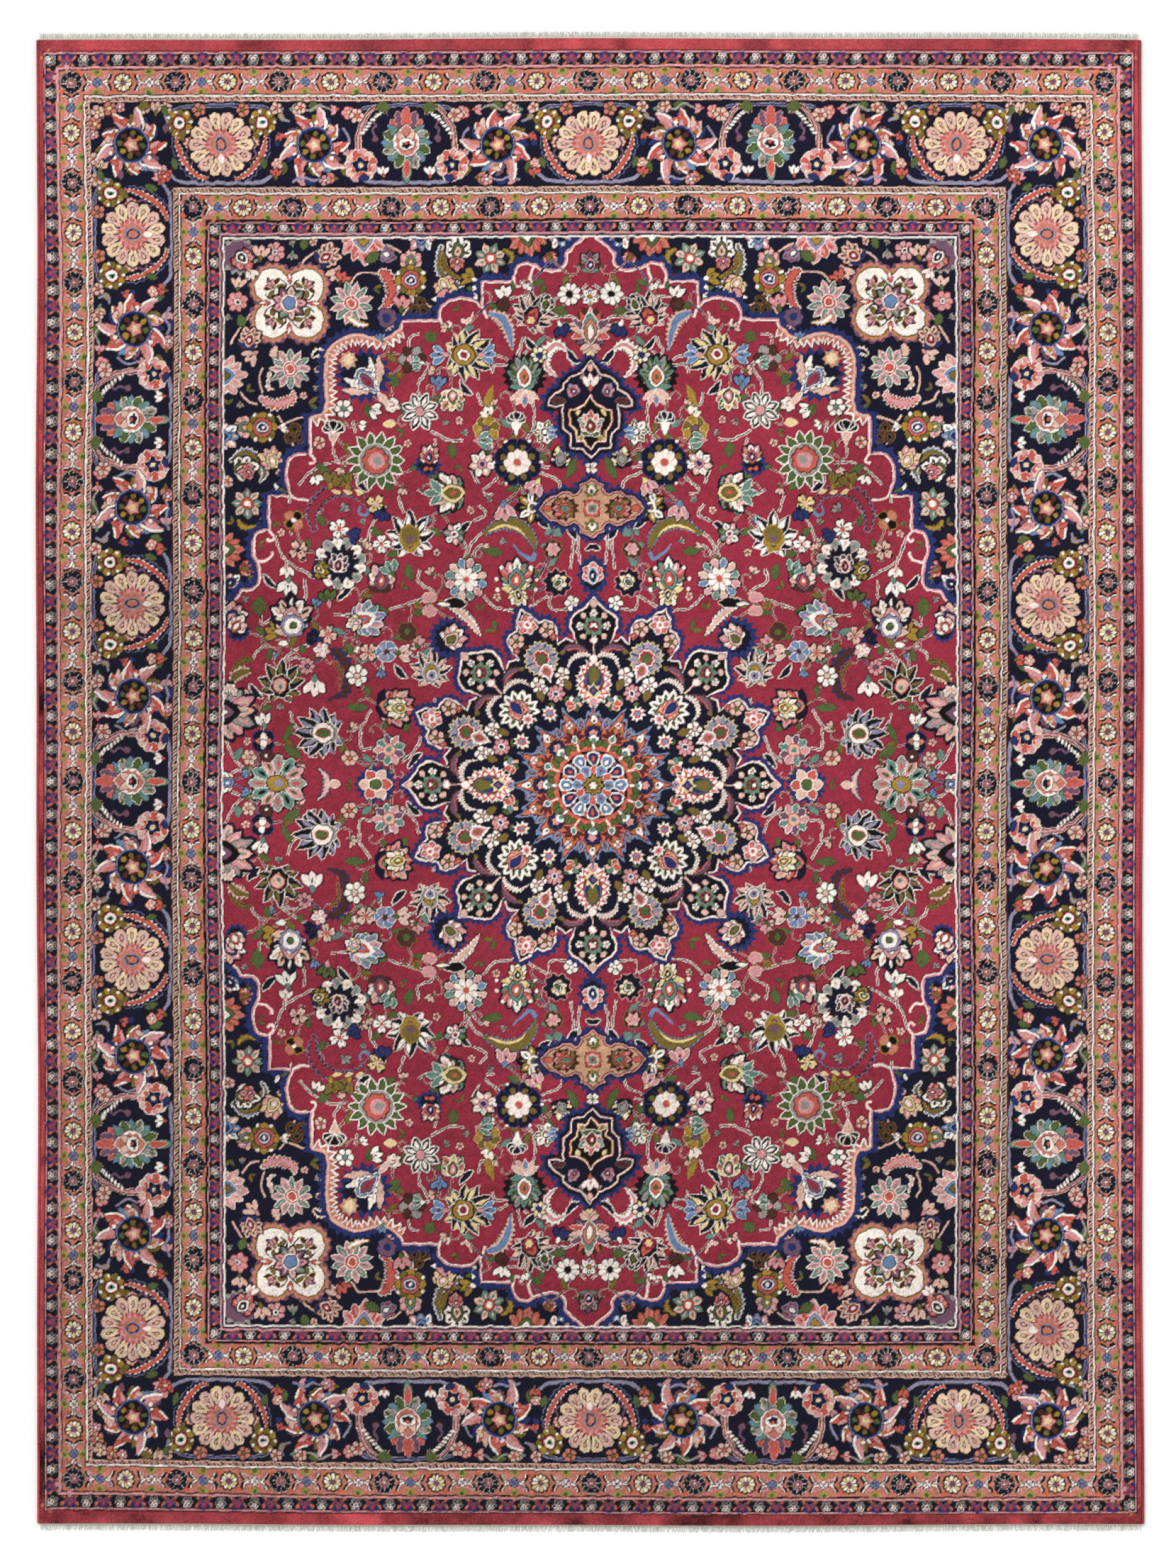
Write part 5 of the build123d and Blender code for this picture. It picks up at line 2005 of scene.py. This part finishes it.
def new_piece(name, spots, quads, colours, material):
    """A mesh object from points in millimetres, quads and a linear colour for each point."""
    mesh = bpy.data.meshes.new(name)
    mesh.vertices.add(len(spots))
    mesh.vertices.foreach_set("co", (lie(spots) * MM).astype(np.float32).ravel())
    mesh.loops.add(quads.size)
    mesh.loops.foreach_set("vertex_index", quads.astype(np.int32).ravel())
    mesh.polygons.add(len(quads))
    mesh.polygons.foreach_set("loop_start", np.arange(0, quads.size, 4, dtype=np.int32))
    mesh.polygons.foreach_set("use_smooth", np.ones(len(quads), bool))
    mesh.update(calc_edges=True)
    yarn = mesh.color_attributes.new("yarn", "FLOAT_COLOR", "POINT")
    yarn.data.foreach_set(
        "color", np.column_stack([colours, np.ones(len(spots))]).astype(np.float32).ravel()
    )
    mesh.materials.append(material)
    piece = bpy.data.objects.new(name, mesh)
    bpy.context.scene.collection.objects.link(piece)
    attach(piece, "root")
    return piece


def wool(name, sheen, tint=(1.0, 1.0, 1.0)):
    """Yarn: the knotted colours, broken up by a fine fibre grain."""
    material = bpy.data.materials.new(name)
    material.use_nodes = True
    nodes, links = material.node_tree.nodes, material.node_tree.links
    surface = nodes["Principled BSDF"]
    surface.inputs["Roughness"].default_value = 0.92
    surface.inputs["Specular IOR Level"].default_value = 0.15
    surface.inputs["Sheen Weight"].default_value = sheen
    surface.inputs["Sheen Roughness"].default_value = 0.4
    surface.inputs["Sheen Tint"].default_value = (*tint, 1.0)
    colour = nodes.new("ShaderNodeAttribute")
    colour.attribute_name = "yarn"
    place = nodes.new("ShaderNodeTexCoord")
    grain = nodes.new("ShaderNodeTexNoise")
    grain.inputs["Scale"].default_value = 420.0
    grain.inputs["Detail"].default_value = 2.0
    spread = nodes.new("ShaderNodeMapRange")
    spread.inputs["To Min"].default_value = 0.78
    spread.inputs["To Max"].default_value = 1.22
    shaded = nodes.new("ShaderNodeMix")
    shaded.data_type = "RGBA"
    shaded.blend_type = "MULTIPLY"
    shaded.inputs["Factor"].default_value = 1.0
    links.new(place.outputs["Object"], grain.inputs["Vector"])
    links.new(grain.outputs["Fac"], spread.inputs["Value"])
    links.new(colour.outputs["Color"], shaded.inputs["A"])
    links.new(spread.outputs["Result"], shaded.inputs["B"])
    links.new(shaded.outputs["Result"], surface.inputs["Base Color"])
    return material


def pile_points():
    """Every corner of the knot grid: its place in millimetres, and its height."""
    rows, columns = TUFTS.shape[:2]
    x = np.arange(columns) * KNOT - HALF_WIDTH
    y = np.arange(rows) * KNOT - HALF_LENGTH
    height = PILE_TOP + 0.22 * rng.normal(size=(rows, columns)) + 0.25 * soft_noise(rows, columns, 5)
    height -= 1.1 * (TUFTS.mean(axis=2) < 0.012)
    spots = np.stack(np.broadcast_arrays(x[None, :], y[:, None], height), axis=-1)
    return spots.reshape(-1, 3)


PILE_SPOTS = pile_points()


def pile_piece(name, mask, nodes, material, slot):
    """The pile over a set of knots: its top, and its cut sides down to the foundation."""
    across = TUFTS.shape[1]
    row, column = np.nonzero(mask)
    corner = row * across + column
    top = np.column_stack([corner, corner + 1, corner + across + 1, corner + across])
    used, compact = np.unique(top, return_inverse=True)
    colours = TUFTS.reshape(-1, 3)
    padded = np.pad(mask, 1)
    rims = []
    for row_step, column_step, first, second in ((-1, 0, 0, 1), (0, 1, 1, 2), (1, 0, 2, 3), (0, -1, 3, 0)):
        bare = ~padded[row + 1 + row_step, column + 1 + column_step]
        rims.append(top[bare][:, [second, first]])
    rim = np.concatenate(rims)
    upper = PILE_SPOTS[rim.ravel()]
    lower = upper.copy()
    lower[:, 2] = FOUNDATION_TOP
    count = len(used)
    pairs = np.arange(len(upper)).reshape(-1, 2) + count
    sides = np.column_stack([pairs, pairs[:, ::-1] + len(upper)])
    spots = np.concatenate([PILE_SPOTS[used], upper, lower])
    # the cut sides take the top's yarn colour painted darker, more so down at the foundation: painted shade
    tone_and_painted_light = np.concatenate([colours[used], colours[rim.ravel()] * 0.8, colours[rim.ravel()] * 0.5])
    quads = np.concatenate([compact.reshape(-1, 4), sides])
    piece = new_piece(name, spots, quads, tone_and_painted_light, material)
    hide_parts(*nodes)
    return piece


def pile():
    """Every area of the pile as a piece of its own."""
    red = wool("wool_pile_red", 0.18, tint=(1.0, 0.75, 0.75))
    navy = wool("wool_pile_navy", 0.12, tint=(0.75, 0.8, 1.0))
    salmon = wool("wool_pile_salmon", 0.15, tint=(1.0, 0.85, 0.8))
    stripe = wool("wool_pile_stripe", 0.15)
    finishes = {
        "plain_band": (red, "pile_red"),
        "outer_guard": (navy, "pile_navy"),
        "outer_border": (salmon, "pile_salmon"),
        "outer_barber_stripe": (stripe, "pile_stripe"),
        "main_border": (navy, "pile_navy"),
        "inner_barber_stripe": (stripe, "pile_stripe"),
        "inner_border": (salmon, "pile_salmon"),
        "inner_guard": (navy, "pile_navy"),
    }
    pieces = []
    for number, name in enumerate(BANDS):
        nodes = [f"{name}_{strip}" for strip in STRIPS]
        pieces.append(pile_piece(f"{name}_pile", KNOT_AREA == number, nodes, *finishes[name]))
    pieces.append(pile_piece("field_pile", KNOT_AREA == FIELD_AREA, ["field"], red, "pile_red"))
    pieces.append(
        pile_piece("medallion_pile", KNOT_AREA == MEDALLION_AREA, ["medallion"], navy, "pile_navy")
    )
    north = np.arange(KNOT_AREA.shape[0])[:, None] >= KNOT_AREA.shape[0] / 2
    east = np.arange(KNOT_AREA.shape[1])[None, :] >= KNOT_AREA.shape[1] / 2
    for node in SPANDRELS:
        here = (north if "north" in node else ~north) & (east if "east" in node else ~east)
        pieces.append(
            pile_piece(f"{node}_pile", (KNOT_AREA == SPANDREL_AREA) & here, [node], navy, "pile_navy")
        )
    return pieces


# ---------------------------------------------------------------- edges and ends

KILIM_LENGTH = round(corner_of("kilim_end_north")[1] - HALF_LENGTH, 1)


def tube_quads(base, around):
    """The quads between a ring of points, which starts at a base index, and the ring after it."""
    spoke = np.arange(around)
    after = (spoke + 1) % around
    near, far = base[..., None], base[..., None] + around
    return np.stack([near + spoke, near + after, far + after, far + spoke], axis=-1).reshape(-1, 4)


def foundation():
    """The woven cotton ground under the pile."""
    across, along = 60, 80
    x = np.linspace(-HALF_WIDTH, HALF_WIDTH, across + 1)
    y = np.linspace(-HALF_LENGTH, HALF_LENGTH, along + 1)
    flat = np.stack(np.broadcast_arrays(x[None, :], y[:, None], 0.0), axis=-1).reshape(-1, 3)
    corner = (np.arange(along)[:, None] * (across + 1) + np.arange(across)).ravel()
    under = np.column_stack([corner, corner + across + 1, corner + across + 2, corner + 1])
    raised = flat + (0, 0, FOUNDATION_TOP - 0.02)
    over = under[:, ::-1] + len(flat)
    south = np.arange(across + 1)
    east = np.arange(along + 1) * (across + 1) + across
    north = (south + along * (across + 1))[::-1]
    west = (east - across)[::-1]
    rims = [
        np.column_stack([edge[:-1], edge[1:], edge[1:] + len(flat), edge[:-1] + len(flat)])
        for edge in (south, east, north, west)
    ]
    quads = np.concatenate([under, over, *rims])
    spots = np.concatenate([flat, raised])
    cotton = np.tile((0.55, 0.49, 0.38), (len(spots), 1)) * (1 + 0.05 * rng.normal(size=(len(spots), 1)))
    piece = new_piece(
        "foundation_weave", spots, quads, cotton, wool("cotton_weave", 0.1)
    )
    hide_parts("foundation")
    return piece


def selvedge(sign, direction, material):
    """Wool yarn wrapped round the side cords, turn beside turn."""
    half_width, half_height = 4.0, 4.5
    turn_pitch = 6.0
    rings, around = round(2 * HALF_LENGTH / (turn_pitch / 3)), 14
    y = np.linspace(-HALF_LENGTH, HALF_LENGTH, rings + 1)[:, None]
    angle = np.linspace(0, 2 * np.pi, around, endpoint=False)[None, :]
    turn = np.sin(2 * np.pi * (y / turn_pitch) + sign * angle * 0.9)
    swell = 1 + 0.07 * turn + 0.03 * rng.normal(size=(rings + 1, 1))
    x = np.sign(np.cos(angle)) * np.abs(np.cos(angle)) ** 0.75 * swell
    x = sign * (HALF_WIDTH + half_width) + half_width * x
    z = half_height + 0.1 + half_height * np.sign(np.sin(angle)) * np.abs(np.sin(angle)) ** 0.75 * swell
    spots = np.stack(np.broadcast_arrays(x, y, np.maximum(z, 0.0)), axis=-1).reshape(-1, 3)
    quads = tube_quads(np.arange(rings) * around, around)
    # each turn of yarn is painted lighter where it swells and darker in the groove between turns: painted
    # shade; the random part is the yarn's own tone
    red = np.array((0.36, 0.055, 0.055)) * (
        1 + 0.16 * turn + 0.1 * rng.normal(size=(rings + 1, 1))
    )[:, :, None]
    slow = 1 + 0.14 * soft_noise(rings + 1, 1, 60)[:, :, None]
    piece = new_piece(
        f"selvedge_{direction}", spots, quads, np.clip(red * slow, 0.01, 1).reshape(-1, 3), material,
    )
    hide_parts(f"selvedge_wrap_{direction}", f"selvedge_core_{direction}")
    return piece


def kilim_end(sign, direction, material):
    """The flat-woven strip that locks the last row of knots."""
    columns, rows = round(2 * HALF_WIDTH / KNOT), 5
    x = np.linspace(-HALF_WIDTH, HALF_WIDTH, columns + 1)[None, :]
    y = np.linspace(0, KILIM_LENGTH, rows + 1)[:, None]
    rib = 0.35 * np.sin(x * np.pi / KNOT) * np.cos(y * np.pi)
    z = np.where((y > 0) & (y < KILIM_LENGTH), 2.5 + rib, 1.4 + 0 * x)
    spots = np.stack(np.broadcast_arrays(x, sign * (HALF_LENGTH + y), z), axis=-1).reshape(-1, 3)
    corner = (np.arange(rows)[:, None] * (columns + 1) + np.arange(columns)).ravel()
    quads = np.column_stack([corner, corner + 1, corner + columns + 2, corner + columns + 1])
    under = spots.copy()
    under[:, 2] = 0.0
    quads = np.concatenate([quads[:, ::sign], quads[:, ::-sign] + len(spots)])
    spots = np.concatenate([spots, under])
    cotton = np.tile((0.66, 0.60, 0.52), (len(spots), 1)) * (1 + 0.12 * rng.normal(size=(len(spots), 1)))
    piece = new_piece(f"kilim_{direction}", spots, quads, np.clip(cotton, 0.02, 1), material)
    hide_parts(f"kilim_end_{direction}")
    return piece


def fringe(sign, direction, material):
    """The cut warp ends: short twisted cotton strands, none quite alike."""
    strands, rings, around = 1150, 6, 5
    last = HALF_WIDTH - 2
    start = np.clip(np.linspace(-last, last, strands) + rng.normal(0, 0.8, strands), -last, last)
    length = np.clip(12.6 + 1.6 * rng.normal(size=strands), 7, 13.8)
    lean = 3.4 * rng.normal(size=strands)
    t = np.linspace(0, 1, rings)[None, :, None]
    angle = np.linspace(0, 2 * np.pi, around, endpoint=False)[None, None, :]
    thick = 1.05 + 0.6 * t**2
    turn = angle + 5 * t
    x = start[:, None, None] + lean[:, None, None] * t**2 + thick * np.cos(turn)
    y = sign * (HALF_LENGTH + KILIM_LENGTH - 0.4 + length[:, None, None] * t + 0 * angle)
    z = 1.5 - 0.35 * t + 0.8 * thick * np.sin(turn) * (1 - 0.3 * t)
    spots = np.stack(np.broadcast_arrays(x, y, np.maximum(z, 0.0)), axis=-1).reshape(-1, 3)
    ring_starts = (np.arange(strands)[:, None] * rings + np.arange(rings - 1)) * around
    quads = tube_quads(ring_starts, around)
    shade = 1 + 0.12 * rng.normal(size=(strands, 1, 1, 1)) + 0 * np.ones((1, rings, around, 1))
    cotton = np.clip(np.array((0.80, 0.80, 0.72)) * shade, 0.02, 1).reshape(-1, 3)
    piece = new_piece(f"fringe_{direction}_strands", spots, quads, cotton, material)
    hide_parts(f"fringe_{direction}")
    return piece


# ---------------------------------------------------------------- the stage


def floor():
    """A plain white ground for the carpet to lie on."""
    bpy.ops.mesh.primitive_plane_add(size=24, location=(0, 0, -0.001))
    ground = bpy.context.object
    ground.name = "floor"
    material = bpy.data.materials.new("floor_white")
    material.use_nodes = True
    surface = material.node_tree.nodes["Principled BSDF"]
    surface.inputs["Base Color"].default_value = (0.92, 0.92, 0.92, 1)
    surface.inputs["Roughness"].default_value = 1.0
    surface.inputs["Specular IOR Level"].default_value = 0.0
    ground.data.materials.append(material)


def lights():
    """An even white sky, and one broad lamp from the upper left."""
    world = bpy.data.worlds.new("studio")
    world.use_nodes = True
    world.node_tree.nodes["Background"].inputs["Color"].default_value = (1, 1, 1, 1)
    world.node_tree.nodes["Background"].inputs["Strength"].default_value = 0.8
    bpy.context.scene.world = world
    lamp = bpy.data.lights.new("key", "SUN")
    lamp.energy = 1.3
    lamp.angle = math.radians(20)
    key = bpy.data.objects.new("key", lamp)
    key.rotation_euler = (math.radians(-34), math.radians(-26), 0)
    bpy.context.scene.collection.objects.link(key)


def camera():
    """Straight down, with the long way of the carpet up."""
    height, view_length = 16.0, 4.181
    lens = bpy.data.cameras.new("camera")
    lens.sensor_width = 36.0
    lens.lens = lens.sensor_width * height / view_length
    lens.clip_end = 100.0
    eye = bpy.data.objects.new("camera", lens)
    eye.location = (-0.0047, -0.0057, height + PILE_TOP * MM)
    bpy.context.scene.collection.objects.link(eye)
    bpy.context.scene.camera = eye


camera()
floor()
lights()
bpy.context.scene.view_settings.view_transform = "Standard"
yarn = wool("selvedge_yarn", 0.15, tint=(1.0, 0.8, 0.8))
cotton = wool("cotton_yarn", 0.1)
ground = foundation()
parts = pile()
for sign, direction in ((1, "east"), (-1, "west")):
    parts.append(selvedge(sign, direction, yarn))
for sign, direction in ((1, "north"), (-1, "south")):
    parts.append(kilim_end(sign, direction, cotton))
    parts.append(fringe(sign, direction, cotton))
